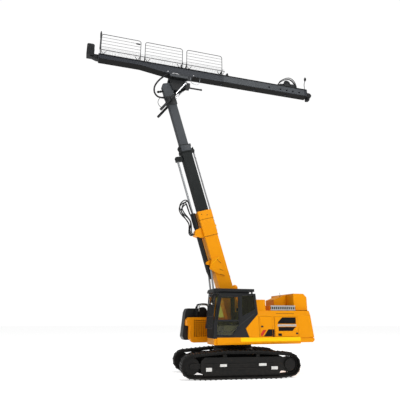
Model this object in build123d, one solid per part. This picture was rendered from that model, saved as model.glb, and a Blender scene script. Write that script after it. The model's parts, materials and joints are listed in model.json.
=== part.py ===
from build123d import *

import os
from math import atan2, cos, degrees, hypot, pi, radians, sin, tan

# Crawler rig: a tracked carrier, a slewing house, a three-stage telescopic boom
# and a long level mast beam with a walkway on the boom's head.
# Millimetres. X is forward, Y to the machine's left, Z up from the ground.
# Places are measured from the slew axis, which slew_x puts in the part's frame.

# Shared clearances
overrun = 20.0  # how far a cutting solid passes the face that it cuts
running_gap = 0.4  # between faces that turn or slide on each other
pin_gap = 0.3  # round a pin in its eye
panel_gap = 8.0  # round a door in its frame
knuckle_radius = 18.0  # of a door's hinges
knuckle_length = 70.0
knuckle_room = 5.0  # round a knuckle in the other leaf
knuckle_shares = (0.18, 0.78)  # places of a door's two hinges, as shares of its height

# Crawler tracks
track_gauge = 2700.0
shoe_width = 600.0
shoe_count = 52
shoe_plate = 30.0
grouser_height = 30.0
chain_height = 110.0
chain_width = 240.0
idler_x = 2120.0
idler_z = 530.0
sprocket_x = -2080.0
sprocket_z = 550.0
end_wheel_radius = 330.0
bottom_roller_radius = 100.0
bottom_roller_first_x = -1560.0
bottom_roller_last_x = 1580.0
bottom_roller_count = 8
top_roller_radius = 85.0
top_roller_x = 720.0
top_run_z = 1120.0

# Track frames and wheels
frame_low = 330.0
frame_high = 790.0
frame_width = 340.0
frame_rear_x = -1640.0
frame_front_x = 1700.0
frame_end_slope = 130.0
guard_plate = 20.0
guard_low = 160.0
guard_high = 860.0
guard_front_x = 1745.0
guard_rear_x = -1700.0
guard_slope = 150.0
drive_guard = 45.0  # of plate left round the final drive's drum
frame_ridge = 22.0
frame_ridge_height = 60.0
yoke_plate = 40.0
yoke_height = 200.0
wheel_width = 150.0
wheel_shaft_radius = 60.0
sprocket_teeth = 21
sprocket_tooth_height = 34.0
sprocket_hub_radius = 230.0
roller_width = 280.0
roller_shaft_radius = 30.0

# Centre frame and slewing ring
carrier_turn = -6.0  # degrees about the slew axis, against the house
centre_low = 520.0
centre_high = 900.0
centre_half_length = 760.0
centre_half_width = 620.0
leg_reach_x = 1150.0
leg_width = 420.0
pedestal_radius = 800.0
pedestal_top = 1010.0
ring_radius = 900.0
ring_bore_radius = 640.0
ring_top = 1170.0
upper_ring_radius = 840.0

# House deck
deck_low = 1350.0
deck_high = 1600.0
house_half_width = 1500.0
house_rear_x = -2660.0
cab_side_y = 540.0
deck_front_x = 1380.0
deck_centre_front_x = 520.0
deck_right_front_x = 600.0
boom_foot_x = -140.0
boom_foot_z = 2150.0
boom_bracket_plate = 60.0
boom_bracket_radius = 200.0
boom_bracket_rear_x = -560.0
boom_bracket_front_x = 400.0
boom_pin_radius = 70.0
skirt_proud = 60.0
skirt_high = 1640.0
skirt_low = 1420.0
skirt_front_x = 1250.0

# Counterweight, hood, cabinets and boxes
body_high = 2760.0
shoulder = 220.0
tail_radius = 3700.0
tail_top_radius = 3560.0
tail_toe = 90.0  # cut off the counterweight's bottom edge
counterweight_low = 1400.0
counterweight_seam_z = 1580.0
counterweight_seam = 25.0
hood_front_x = -1390.0
panel_wall = 60.0
door_low = 1660.0
door_high = 2500.0
door_frame = 60.0
vent_depth = 20.0
vent_slat = 12.0
lid_front_x = -1980.0
lid_rear_x = -2635.0
lid_half_width = 450.0
lid_front_high = 3270.0
lid_high = 3520.0
lid_wall = 40.0
tail_cover_gap = 10.0  # behind the lid
tail_cover_rear_x = -3335.0
tail_cover_half_width = 1150.0
tail_cover_high = 3535.0
tail_cover_corner = 160.0
tread_inner_y = 650.0
tread_high = 2980.0
tread_hole_radius = 30.0
tread_hole_depth = 15.0
tread_hole_count = 12
cabinet_front_x = -680.0
cabinet_toe_x = -250.0
cabinet_wedge_x = -75.0
cabinet_wedge_z = 2000.0
cabinet_wedge_high = 2620.0
rear_box_rear_x = -1130.0
rear_box_front_x = -680.0
rear_box_high = 3230.0
rear_box_inset = 200.0
engine_length = 800.0
engine_width = 900.0
engine_high = 2600.0
engine_rear_x = -2400.0
front_box_front_x = 1880.0
front_box_nose_x = 2030.0
front_box_nose_z = 2100.0
front_box_low = deck_low
front_box_high = 2470.0
front_box_inner_y = -540.0
front_box_outer_y = -950.0
front_box_toe = 160.0
front_box_brow = 110.0
front_box_wall = 25.0
grid_hole = 58.0
grid_pitch = 86.0
grid_columns = 8
grid_rows = 9
grid_middle_x = 1365.0
grid_middle_z = 1985.0
cover_front_x = 2150.0
cover_top_x = 1930.0
cover_rear_x = 1200.0
cover_high = 2890.0
cover_low = 1450.0
cover_toe_z = 1600.0
cover_corner = 90.0
cover_round = 60.0
intake_x = -475.0
intake_y = -760.0
intake_radius = 140.0
intake_high = 3900.0
intake_cap = 60.0

# Cab
cab_rear_low_x = -235.0
cab_belt_x = 1390.0
cab_belt_z = 2150.0
cab_roof_front_x = 1140.0
cab_roof_rear_x = -580.0
cab_high = 3470.0
cab_wedge_x = -60.0
cab_wedge_z = 2000.0
cab_waist_x = -660.0
cab_waist_z = 2600.0
cab_wall = 60.0
cab_glass_depth = 8.0
cab_pillar = 90.0
b_pillar_x = 185.0
b_pillar_width = 110.0
cab_door_low = 1680.0
cab_door_cut = 360.0
door_rail_z = 2330.0
door_rail = 70.0
window_low = 2120.0
visor_low = 3550.0
visor_high = 3660.0
visor_front_x = 1330.0
visor_rear_x = -530.0
visor_post = 60.0
seat_x = 250.0
seat_y = 1020.0
seat_width = 520.0
seat_high = 2080.0
seat_depth = 540.0
seat_back_high = 2850.0
seat_pad = 140.0
console_width = 180.0
console_high = 2120.0
console_length = 640.0

# Boom. Its own frame has X out of its front face and Z along it from the foot.
boom_lean = 16.3
base_depth = 660.0
base_width = 560.0
base_wall = 25.0
base_length = 5574.0
base_foot_solid = 420.0
collar_length = 420.0
collar_proud = 30.0
box_length = 1304.0
box_proud = 16.0
gusset_low = 2270.0
gusset_high = 3220.0
gusset_rear_u = -80.0
gusset_knee_u = 185.0
gusset_knee_rise = 135.0
gusset_plate = 45.0
gusset_round = 85.0
lift_eye_u = 460.0
lift_eye_w = 2790.0
second_depth = 510.0
second_width = 420.0
second_wall = 20.0
second_length = 5000.0
second_reach = 3596.0  # out of the base section
second_top = base_length + second_reach
second_collar = 400.0
second_collar_proud = 45.0
third_depth = 425.0
third_width = 345.0
third_wall = 18.0
third_reach = 2340.0  # out of the second stage
third_top = second_top + third_reach
third_length = 3700.0
shoe_pad_length = 260.0
pipe_radius = 17.0
pipe_pitch = 70.0
pipe_count = 3
pipe_u = -430.0
pipe_grip = 240.0  # left below the base section's guide
pipe_guide_drop = 850.0  # under the base section's top
pipe_guide_height = 70.0
pipe_holder = 35.0  # of plate round the pipes

# Boom head and mast hinge
head_collar_length = 480.0
head_collar_top = third_top + head_collar_length
head_collar_proud = 32.0
head_height = 820.0
head_front_u = 285.0
head_round = 150.0
head_bar_radius = 24.0
head_bar_reach = 600.0
head_bar_rise = 430.0
head_top = head_collar_top + head_height
head_width = 300.0
hinge_u = -262.0
hinge_rise = 697.0  # over the head's collar
hinge_w = head_collar_top + hinge_rise
hinge_boss_radius = 150.0
hinge_pin_radius = 60.0
tilt_foot_u = 30.0
tilt_foot_drop = 210.0  # under the head collar's top
tilt_foot_w = head_collar_top - tilt_foot_drop
tilt_y = 400.0
tilt_eye_back = 710.0  # from the hinge pin
tilt_eye_rise = 60.0
tilt_barrel_radius = 66.0
tilt_gland_radius = 74.0
tilt_rod_radius = 36.0
tilt_barrel_length = 310.0  # above the trunnion
tilt_tail_length = 980.0  # below it
tilt_tail_wall = 60.0
tilt_rod_grip = 500.0
tilt_eye_radius = 62.0
tilt_eye_width = 110.0
trunnion_radius = 100.0
trunnion_height = 220.0
trunnion_pin_radius = 45.0
trunnion_pin_grip = 40.0
trunnion_tube_radius = 72.0

# Lift cylinders
lift_foot_x = 730.0
lift_foot_z = 1500.0
lift_barrel_radius = 100.0
lift_barrel_length = 1900.0
lift_rod_radius = 45.0
lift_rod_grip = 300.0
lift_eye_radius = 90.0
lift_eye_width = 110.0
lift_y = base_width / 2 - lift_eye_width / 2 - running_gap
lift_rod_eye_radius = 70.0
lift_pin_radius = 45.0
lift_lug_plate = 36.0

# Telescope cylinder, on the boom's front
telescope_u = 540.0
telescope_foot_w = 2700.0
telescope_tail_w = 2300.0
telescope_tail_radius = 50.0
telescope_trunnion_w = 3060.0
telescope_lug_plate = 30.0
telescope_lug_round = 75.0
telescope_barrel_radius = 118.0
telescope_barrel_proud = 0.0  # past the base section
telescope_head_length = 700.0
telescope_head_proud = 16.0
telescope_rod_radius = 52.0
clamp_reach = 250.0  # past the cylinder's axis
clamp_drop = 1270.0  # under the base section's top
clamp_length = 430.0
clamp_half_width = 180.0
telescope_rod_grip = 260.0
telescope_bracket_drop = 675.0  # under the second stage's top
telescope_bracket_height = 230.0
telescope_bracket_width = 260.0

# Mast beam and what it carries. X and Z are measured from the mast's hinge pin.
beam_front = 3880.0
beam_rear = -8170.0
beam_top = 1100.0
beam_width = 460.0
beam_wall = 22.0
beam_depth = 440.0
haunch_depth = 500.0
haunch_start_x = 130.0
haunch_end_x = -670.0
front_depth = 270.0
front_taper_x = 1730.0
web_hole_radius = 45.0
web_hole_drop = 280.0  # under the beam's top
web_hole_first_x = -7650.0
web_hole_pitch = 408.0
web_hole_count = 4
lone_hole_x = -5700.0
bracket_plate = 60.0
bracket_rear_x = -820.0
bracket_front_x = 160.0
bracket_low = -300.0
bracket_toe_x = -30.0
bracket_heel_x = -400.0
bracket_boss_radius = 100.0
saddle_low = 340.0
saddle_high = 500.0
saddle_half_width = 390.0
stop_bar_radius = 26.0
stop_bar_reach = -1690.0
stop_bar_knob = 45.0
stop_bar_block = 180.0
front_head_reach = 4500.0
rear_head_reach = -8530.0
rear_wheel_radius = 150.0
walkway_floor_z = 1330.0
walkway_plate = 30.0
walkway_half_width = 290.0
walkway_rear = -2970.0
walkway_front = 3880.0
walkway_bracket = 50.0
kick_plate = 10.0
kick_height = 130.0
lug_length = 120.0
lug_depth = 60.0
lug_first_x = -6900.0
lug_pitch = 2000.0
lug_count = 3
front_block_high = 1640.0
front_block_length = 380.0
front_block_half_width = 190.0
front_sheave_radius = 150.0
front_sheave_rise = 330.0
drive_motor_x = -8330.0
drive_motor_z = 620.0
drive_motor_radius = 130.0
drive_motor_width = 230.0
rail_panel_rears = [1760.0, -530.0, -2820.0]
rail_panel_length = 2050.0
rail_panel_height = 950.0
rail_tube_radius = 17.0
rail_bar_radius = 9.0
rail_corner = 130.0
rail_bars = 4
post_radius = 26.0
post_top = 2400.0

telescope_barrel_top = base_length + telescope_barrel_proud
telescope_bracket_w = second_top - telescope_bracket_drop
boom_frame = Location((boom_foot_x, 0, boom_foot_z), (0, boom_lean, 0))


def outline(points):
    """Flat face inside a closed line of points."""
    return make_face(Polyline(*points, close=True))


def across(face, width, middle=0):
    """Side-view face, drawn as X and Z, given a width in Y about a middle."""
    return Pos(0, middle, 0) * (Rot(90, 0, 0) * extrude(face, width / 2, both=True))


def along(face, low, high):
    """End-view face, drawn as Y and Z, run from one X to another."""
    return Pos(low, 0, 0) * (Plane.YZ * extrude(face, high - low))


def upright(face, low, high):
    """Plan face, drawn as X and Y, raised from one height to another."""
    return Pos(0, 0, low) * extrude(face, high - low)


def block(x_low, x_high, y_low, y_high, z_low, z_high):
    """Box between two corners."""
    sizes = (x_high - x_low, y_high - y_low, z_high - z_low)
    return Pos(x_low, y_low, z_low) * Box(*sizes, align=Align.MIN)


def disc(x, z, radius, width, middle=0):
    """Round piece with its axis across the machine."""
    return Pos(x, middle, z) * (Rot(90, 0, 0) * Cylinder(radius, width))


def both_sides(make):
    """The same piece on the left and on the right, as solids of one node."""
    return Part() + [make(side) for side in (1, -1)]


def knuckles(axis, span):
    """Hinges along an axis frame's Z: fixed barrels, moving barrels, and the room for each."""
    sets = []
    for level in (0, 1):
        for radius in (knuckle_radius, knuckle_radius + knuckle_room):
            room = radius - knuckle_radius
            length = knuckle_length + 2 * room
            barrels = Part()
            for share in knuckle_shares:
                z = share * span + level * (knuckle_length + running_gap)
                barrels += axis * Pos(0, 0, z + knuckle_length / 2) * Cylinder(radius, length)
            sets.append(barrels)
    return sets


def hung(frame, leaf, axis, span):
    """A frame and a leaf with their halves of the hinges along an axis frame's Z."""
    fixed, fixed_room, moving, moving_room = knuckles(axis, span)
    return (frame - moving_room) + fixed, (leaf - fixed_room) + moving


def boom_point(u, w):
    """Where a point of the boom's frame stands, as X and Z."""
    lean = radians(boom_lean)
    return (
        boom_foot_x + u * cos(lean) + w * sin(lean),
        boom_foot_z - u * sin(lean) + w * cos(lean),
    )


hinge_x, hinge_z = boom_point(hinge_u, hinge_w)
mast_frame = Location((hinge_x, 0, hinge_z))
tilt_eye = (hinge_x - tilt_eye_back, hinge_z + tilt_eye_rise)
slew_x = -(hinge_x + (front_head_reach + rear_head_reach) / 2)


def save(node, shape):
    """Keep a sub-part, moved from the slew axis to the part's frame."""
    os.makedirs("parts", exist_ok=True)
    export_step(Pos(slew_x, 0, 0) * shape, f"parts/{node}.step")


def save_carrier(node, shape):
    """Keep a sub-part of the carrier, which stands turned under the house."""
    save(node, Rot(0, 0, carrier_turn) * shape)


# Crawler tracks


def belt_rounds(inset):
    """What the loop runs round: circles over the shoes' plates, less an inset."""
    over = chain_height + shoe_plate
    bottom_z = grouser_height + over + bottom_roller_radius
    top_z = top_run_z - over - top_roller_radius
    # x, z, radius of the wheel inside
    rounds = [
        (idler_x, idler_z, end_wheel_radius),
        (sprocket_x, sprocket_z, end_wheel_radius),
        (bottom_roller_first_x, bottom_z, bottom_roller_radius),
        (bottom_roller_last_x, bottom_z, bottom_roller_radius),
        (-top_roller_x, top_z, top_roller_radius),
        (top_roller_x, top_z, top_roller_radius),
    ]
    return [(x, z, radius + over - inset) for x, z, radius in rounds]


def belt_face(inset):
    circles = [Pos(x, z) * Circle(radius) for x, z, radius in belt_rounds(inset)]
    return make_hull([circle.edge() for circle in circles])


def shoe_outline():
    """The loop's outer line: one flat shoe after another, each with its grouser."""
    path = belt_face(shoe_plate).wire()
    tip = shoe_plate + grouser_height
    # share of the shoe's length, height over its underside
    shoe_shares = [
        (0.04, 0),
        (0.04, shoe_plate),
        (0.40, shoe_plate),
        (0.44, tip),
        (0.54, tip),
        (0.58, shoe_plate),
        (0.96, shoe_plate),
        (0.96, 0),
    ]
    centre = path.center(CenterOf.BOUNDING_BOX)
    points = []
    for shoe in range(shoe_count):
        start = path.position_at(shoe / shoe_count)
        end = path.position_at((shoe + 1) / shoe_count)
        run = end - start
        out = Vector(run.Y, -run.X).normalized()
        if out.dot(start - centre) < 0:
            out = -out
        for share, height in shoe_shares:
            points.append(start + run * share + out * height)
    return outline(points)


def track(side):
    shoes = shoe_outline() - belt_face(2 * shoe_plate)
    chain = belt_face(3 / 2 * shoe_plate) - belt_face(shoe_plate + chain_height)
    middle = side * track_gauge / 2
    return across(shoes, shoe_width, middle) + across(chain, chain_width, middle)


def track_frame(side):
    """Side frame between the loop's two runs, with the idler's yoke in front."""
    middle = side * track_gauge / 2
    slope = frame_end_slope
    body = outline(
        [
            (frame_rear_x, frame_low + slope),
            (frame_rear_x + slope, frame_low),
            (frame_front_x - slope, frame_low),
            (frame_front_x, frame_low + slope),
            (frame_front_x, frame_high - slope),
            (frame_front_x - 3 * slope, frame_high),
            (frame_rear_x + 3 * slope, frame_high),
            (frame_rear_x, frame_high - slope),
        ]
    )
    frame = across(body, frame_width, middle)
    face = middle + side * frame_width / 2
    for height in (frame_low + frame_ridge_height, (frame_low + frame_high) / 2):
        ridge = across(
            outline(
                [
                    (frame_rear_x + slope, height),
                    (frame_front_x - slope, height),
                    (frame_front_x - slope, height + frame_ridge_height),
                    (frame_rear_x + slope, height + frame_ridge_height),
                ]
            ),
            2 * frame_ridge,
            face,
        )
        frame += ridge
    reach = wheel_width / 2 + running_gap + yoke_plate / 2
    for offset in (-reach, reach):
        yoke = make_hull(
            [
                (Pos(idler_x, idler_z) * Circle(yoke_height / 2)).edge(),
                Line(
                    (frame_front_x - overrun, idler_z - yoke_height / 2),
                    (frame_front_x - overrun, idler_z + yoke_height / 2),
                ),
            ]
        )
        frame += across(yoke, yoke_plate, middle + offset)
    frame -= disc(idler_x, idler_z, wheel_shaft_radius + pin_gap, frame_width, middle)
    motor_plate = make_hull(
        [
            (Pos(sprocket_x, sprocket_z) * Circle(sprocket_hub_radius)).edge(),
            Line(
                (frame_rear_x + overrun, frame_low + slope),
                (frame_rear_x + overrun, frame_high - slope),
            ),
        ]
    )
    inner = middle - side * (frame_width / 2 - yoke_plate / 2)
    frame += across(motor_plate, yoke_plate, inner)
    guard = outline(
        [
            (guard_rear_x, guard_low + guard_slope),
            (guard_rear_x + guard_slope, guard_low),
            (guard_front_x - guard_slope, guard_low),
            (guard_front_x, guard_low + guard_slope),
            (guard_front_x, guard_high - guard_slope),
            (guard_front_x - guard_slope, guard_high),
            (guard_rear_x, guard_high),
        ]
    )
    drum = Pos(sprocket_x, sprocket_z) * Circle(sprocket_hub_radius + drive_guard)
    tail = make_hull(
        [
            drum.edge(),
            Line((guard_rear_x + overrun, guard_low + guard_slope), (guard_rear_x + overrun, guard_high)),
        ]
    )
    tail -= Pos(sprocket_x, sprocket_z) * Circle(sprocket_hub_radius + running_gap)
    frame += across(guard, guard_plate, middle - side * (frame_width - guard_plate) / 2)
    frame += across(guard + tail, guard_plate, middle + side * (frame_width - guard_plate) / 2)
    return frame


def idler(side):
    middle = side * track_gauge / 2
    wheel = disc(idler_x, idler_z, end_wheel_radius - running_gap, wheel_width, middle)
    shaft = disc(idler_x, idler_z, wheel_shaft_radius, wheel_width + 2 * yoke_plate, middle)
    return wheel + shaft


def sprocket(side):
    """Toothed ring, with the final drive's drum through it."""
    middle = side * track_gauge / 2
    root = end_wheel_radius - sprocket_tooth_height
    step = 2 * pi / sprocket_teeth
    # share of a tooth's pitch, radius
    tooth_shares = [(0.0, root), (0.30, root), (0.42, end_wheel_radius), (0.88, end_wheel_radius)]
    points = []
    for tooth in range(sprocket_teeth):
        for share, radius in tooth_shares:
            angle = (tooth + share) * step
            reach = radius - running_gap
            points.append((sprocket_x + reach * cos(angle), sprocket_z + reach * sin(angle)))
    ring = across(outline(points), wheel_width / 2, middle)
    inner = middle - side * (frame_width / 2 - yoke_plate)
    outer = middle + side * (shoe_width / 2 - yoke_plate)
    drum = disc(
        sprocket_x,
        sprocket_z,
        sprocket_hub_radius,
        abs(outer - inner),
        (outer + inner) / 2,
    )
    return ring + drum


def rollers(side):
    """Bottom rollers under the frame, and two top rollers on their posts."""
    middle = side * track_gauge / 2
    over = chain_height + shoe_plate
    bottom_z = grouser_height + over + bottom_roller_radius
    top_z = top_run_z - over - top_roller_radius
    pitch = (bottom_roller_last_x - bottom_roller_first_x) / (bottom_roller_count - 1)
    pieces = []
    for place in range(bottom_roller_count):
        x = bottom_roller_first_x + place * pitch
        pieces.append(
            disc(x, bottom_z, bottom_roller_radius - running_gap, roller_width, middle)
            - block(
                x - bottom_roller_radius,
                x + bottom_roller_radius,
                middle - roller_width,
                middle + roller_width,
                frame_low,
                frame_high,
            )
        )
    for x in (-top_roller_x, top_roller_x):
        post = block(
            x - roller_shaft_radius,
            x + roller_shaft_radius,
            middle - roller_width / 4,
            middle + roller_width / 4,
            frame_high,
            top_z,
        )
        pieces.append(disc(x, top_z, top_roller_radius - running_gap, roller_width, middle) + post)
    return Part() + pieces


def centre_frame():
    """Box with four legs out to the track frames, and the ring's pedestal."""
    inner_y = (track_gauge - frame_width) / 2
    corner_x = centre_half_length
    corner_y = centre_half_width
    inside_x = leg_reach_x - leg_width
    quarter = [
        (corner_x, 0),
        (corner_x, corner_y - overrun),
        (leg_reach_x, inner_y),
        (inside_x, inner_y),
        (inside_x - leg_width / 2, corner_y),
    ]
    plan = quarter[:]
    plan += [(-x, y) for x, y in reversed(quarter)]
    plan += [(-x, -y) for x, y in quarter[1:]]
    plan += [(x, -y) for x, y in reversed(quarter[1:])]
    body = upright(outline(plan), centre_low, centre_high)
    pedestal = upright(Circle(pedestal_radius), centre_high, pedestal_top)
    return body + pedestal


def slew_ring():
    return upright(Circle(ring_radius) - Circle(ring_bore_radius), pedestal_top, ring_top)


# House


def lift_lugs(side):
    """Pair of plates on the deck's front edge that hold a lift cylinder's foot pin."""
    plates = Part()
    middle = side * lift_y
    reach = lift_eye_width / 2 + running_gap + lift_lug_plate / 2
    profile = make_hull(
        [
            (Pos(lift_foot_x, lift_foot_z) * Circle(lift_eye_radius)).edge(),
            Line(
                (deck_centre_front_x - overrun, deck_low + overrun),
                (deck_centre_front_x - overrun, deck_high - overrun),
            ),
        ]
    )
    for offset in (-reach, reach):
        plates += across(profile, lift_lug_plate, middle + offset)
    plates += disc(lift_foot_x, lift_foot_z, lift_pin_radius, 2 * reach, middle)
    return plates


def skirt(side):
    """Bevelled sheet along the deck's outer edge."""
    edge = side * house_half_width
    inner = edge - side * overrun
    front = skirt_front_x if side > 0 else deck_right_front_x
    profile = outline(
        [
            (inner, deck_low),
            (edge, deck_low),
            (edge + side * skirt_proud, skirt_low),
            (edge + side * skirt_proud / 3, skirt_high),
            (edge + side * running_gap, skirt_high),
            (edge + side * running_gap, deck_high),
            (inner, deck_high),
        ]
    )
    return along(profile, house_rear_x, front)


def deck():
    plan = outline(
        [
            (house_rear_x, house_half_width),
            (deck_front_x, house_half_width),
            (deck_front_x, cab_side_y),
            (deck_centre_front_x, cab_side_y),
            (deck_centre_front_x, front_box_inner_y),
            (deck_right_front_x, front_box_inner_y),
            (deck_right_front_x, -house_half_width),
            (house_rear_x, -house_half_width),
        ]
    )
    body = upright(plan, deck_low, deck_high)
    ring = Circle(upper_ring_radius) - Circle(ring_bore_radius)
    body += upright(ring, ring_top + running_gap, deck_low)
    bracket = make_hull(
        [
            (Pos(boom_foot_x, boom_foot_z) * Circle(boom_bracket_radius)).edge(),
            Line(
                (boom_bracket_rear_x, deck_high - overrun),
                (boom_bracket_front_x, deck_high - overrun),
            ),
        ]
    )
    reach = base_width / 2 + running_gap + boom_bracket_plate / 2
    for side in (1, -1):
        body += across(bracket, boom_bracket_plate, side * reach)
        body += lift_lugs(side)
        body += skirt(side)
    body += disc(boom_foot_x, boom_foot_z, boom_pin_radius, 2 * reach)
    return body


def shoulders(x_low, x_high):
    """What the sloping shoulders cut off a body that is as wide as the house."""
    cut = Part()
    for side in (1, -1):
        edge = side * house_half_width
        wedge = outline(
            [
                (edge + side * overrun, body_high - shoulder - overrun),
                (edge + side * overrun, body_high + overrun),
                (edge - side * (shoulder + overrun), body_high + overrun),
            ]
        )
        cut += along(wedge, x_low, x_high)
    return cut


def counterweight():
    """Rounded casting that narrows upwards, with a seam and a chamfered toe."""

    def drum(low, high, low_radius, high_radius):
        return Pos(0, 0, (low + high) / 2) * Cone(low_radius, high_radius, high - low)

    def slab(low, high, inset):
        side = house_half_width - inset
        return block(-tail_radius, house_rear_x, -side, side, low, high)

    toe_high = counterweight_low + tail_toe
    seam_high = counterweight_seam_z + counterweight_seam
    toe = drum(counterweight_low, toe_high, tail_radius - tail_toe, tail_radius)
    main = drum(toe_high, body_high, tail_radius, tail_top_radius)
    body = (toe & slab(counterweight_low, toe_high, 0)) + (main & slab(toe_high, body_high, 0))
    core = upright(Circle(tail_radius - 2 * counterweight_seam), counterweight_seam_z, seam_high)
    groove = slab(counterweight_seam_z, seam_high, 0)
    groove -= slab(counterweight_seam_z, seam_high, counterweight_seam) & core
    return body - groove - shoulders(-tail_radius, house_rear_x)


def tail_cover():
    """Raised cover on the counterweight, behind the lid."""
    front = lid_rear_x - tail_cover_gap
    profile = outline(
        [
            (tail_cover_rear_x, body_high),
            (front, body_high),
            (front, tail_cover_high),
            (tail_cover_rear_x + tail_cover_corner, tail_cover_high),
            (tail_cover_rear_x, tail_cover_high - tail_cover_corner),
        ]
    )
    return across(profile, 2 * tail_cover_half_width)


def tread_box():
    """Raised step along the hood's left edge, with a row of round holes in its side."""
    outer = house_half_width - shoulder
    front = hood_front_x
    rear = lid_rear_x
    body = block(rear, front, tread_inner_y, outer, body_high - overrun, tread_high)
    pitch = (front - rear) / tread_hole_count
    for place in range(tread_hole_count):
        body -= disc(
            rear + (place + 1 / 2) * pitch,
            (body_high + tread_high) / 2,
            tread_hole_radius,
            2 * tread_hole_depth,
            outer,
        )
    return body


def end_section(inset, low):
    """End view of the body behind the cab: square below, sloping shoulders above."""
    side = house_half_width - inset
    high = body_high - inset
    slope = shoulder - inset * (1 - tan(radians(45) / 2))
    return outline(
        [
            (-side, low),
            (side, low),
            (side, high - slope),
            (side - slope, high),
            (slope - side, high),
            (-side, high - slope),
        ]
    )


def hood():
    """Engine bay behind the cab, hollow, open at its two doors and under its lid."""
    body = along(end_section(0, deck_high), house_rear_x, hood_front_x)
    inside = along(
        end_section(panel_wall, deck_high - overrun),
        house_rear_x + panel_wall,
        hood_front_x - panel_wall,
    )
    openings = block(
        house_rear_x + door_frame,
        hood_front_x - door_frame,
        -house_half_width - overrun,
        house_half_width + overrun,
        door_low,
        door_high,
    )
    well = block(
        lid_rear_x + lid_wall,
        lid_front_x - lid_wall,
        lid_wall - lid_half_width,
        lid_half_width - lid_wall,
        body_high - panel_wall - overrun,
        body_high + overrun,
    )
    return body - inside - openings - well + tread_box()


def service_door(x_low, x_high, side):
    """Flat door leaf in its frame, as thick as the wall round it."""
    inner = side * (house_half_width - panel_wall)
    outer = side * house_half_width
    return block(
        x_low + panel_gap,
        x_high - panel_gap,
        min(inner, outer),
        max(inner, outer),
        door_low + panel_gap,
        door_high - panel_gap,
    )


def vents(side):
    """Two louvred recesses of a rear service door, as what they cut and their slats."""
    length = hood_front_x - house_rear_x - 2 * door_frame
    height = door_high - door_low
    # shares of the door's length from its front edge, and of its height
    upper_shares = [(0.12, 0.64), (0.13, 0.72), (0.33, 0.96), (0.92, 0.96), (0.92, 0.63)]
    lower_shares = [(0.14, 0.47), (0.90, 0.47), (0.74, 0.27), (0.15, 0.27)]
    cut = Part()
    slats = Part()
    for shares, count in ((upper_shares, 4), (lower_shares, 3)):
        points = [
            (hood_front_x - door_frame - x_share * length, door_low + z_share * height)
            for x_share, z_share in shares
        ]
        face = outline(points)
        cut += across(face, 2 * vent_depth, side * house_half_width)
        low = min(z for x, z in points)
        high = max(z for x, z in points)
        step = (high - low) / (count + 1)
        for slat in range(count):
            z = low + (slat + 1) * step
            band = Pos(house_rear_x, z) * Rectangle(4 * house_half_width, vent_slat)
            slats += across(face & band, vent_depth, side * (house_half_width - vent_depth / 2))
    return cut, slats


def vented_door(side):
    cut, slats = vents(side)
    return service_door(rear_door_low_x, rear_door_high_x, side) - cut + slats


def hood_lid():
    """Raised lid over the engine: four walls and a sloping roof, open below."""

    def profile(inset, low):
        return outline(
            [
                (lid_rear_x + inset, low),
                (lid_front_x - inset, low),
                (lid_front_x - inset, lid_front_high - inset),
                (lid_rear_x + inset, lid_high - inset),
            ]
        )

    low = body_high + running_gap
    outer = across(profile(0, low), 2 * lid_half_width)
    inner = across(profile(lid_wall, low - overrun), 2 * (lid_half_width - lid_wall))
    return outer - inner


def left_cabinet():
    """Cabinet behind the cab: its toe runs under the cab's cut-off rear corner."""

    def profile(inset, low):
        return outline(
            [
                (hood_front_x + inset, low),
                (cabinet_toe_x - inset, low),
                (cabinet_wedge_x - 2 * inset, cabinet_wedge_z),
                (cabinet_front_x - inset, cabinet_wedge_high - inset),
                (cabinet_front_x - inset, body_high - inset),
                (hood_front_x + inset, body_high - inset),
            ]
        )

    width = house_half_width - cab_side_y
    middle = (house_half_width + cab_side_y) / 2
    body = across(profile(0, deck_high), width, middle)
    body -= shoulders(hood_front_x, deck_front_x)
    body += block(
        rear_box_rear_x,
        rear_box_front_x,
        cab_side_y,
        house_half_width - rear_box_inset,
        cabinet_wedge_high,
        rear_box_high,
    )
    body -= block(
        hood_front_x + panel_wall,
        cabinet_front_x - panel_wall,
        cab_side_y + panel_wall,
        house_half_width + overrun,
        door_low,
        door_high,
    )
    return body


def right_tanks():
    """Fuel and oil tanks along the right side, stepped down towards the front."""
    step_x = cabinet_toe_x
    profile = outline(
        [
            (hood_front_x, deck_high),
            (deck_right_front_x, deck_high),
            (deck_right_front_x, front_box_high),
            (step_x, front_box_high),
            (step_x, body_high),
            (hood_front_x, body_high),
        ]
    )
    width = house_half_width - cab_side_y
    body = across(profile, width, -(house_half_width + cab_side_y) / 2)
    return body - shoulders(hood_front_x, deck_right_front_x)


def front_box():
    """Right front box, hollow, with a grid of square holes in its inner side."""

    def profile(inset):
        return outline(
            [
                (deck_right_front_x + inset, front_box_low + inset),
                (front_box_front_x - front_box_toe, front_box_low + inset),
                (front_box_front_x - inset, front_box_low + front_box_toe),
                (front_box_front_x - inset, front_box_nose_z + inset),
                (front_box_nose_x - inset, front_box_nose_z + inset),
                (front_box_nose_x - inset, front_box_high - front_box_brow),
                (front_box_nose_x - front_box_brow, front_box_high - inset),
                (deck_right_front_x + inset, front_box_high - inset),
            ]
        )

    width = front_box_inner_y - front_box_outer_y
    middle = (front_box_inner_y + front_box_outer_y) / 2
    body = across(profile(0), width, middle)
    body -= across(profile(front_box_wall), width - 2 * front_box_wall, middle)
    holes = GridLocations(grid_pitch, grid_pitch, grid_columns, grid_rows)
    grid = Pos(grid_middle_x, grid_middle_z) * holes * Rectangle(grid_hole, grid_hole)
    return body - across(Sketch() + list(grid), 2 * front_box_wall + overrun, front_box_inner_y)


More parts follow.
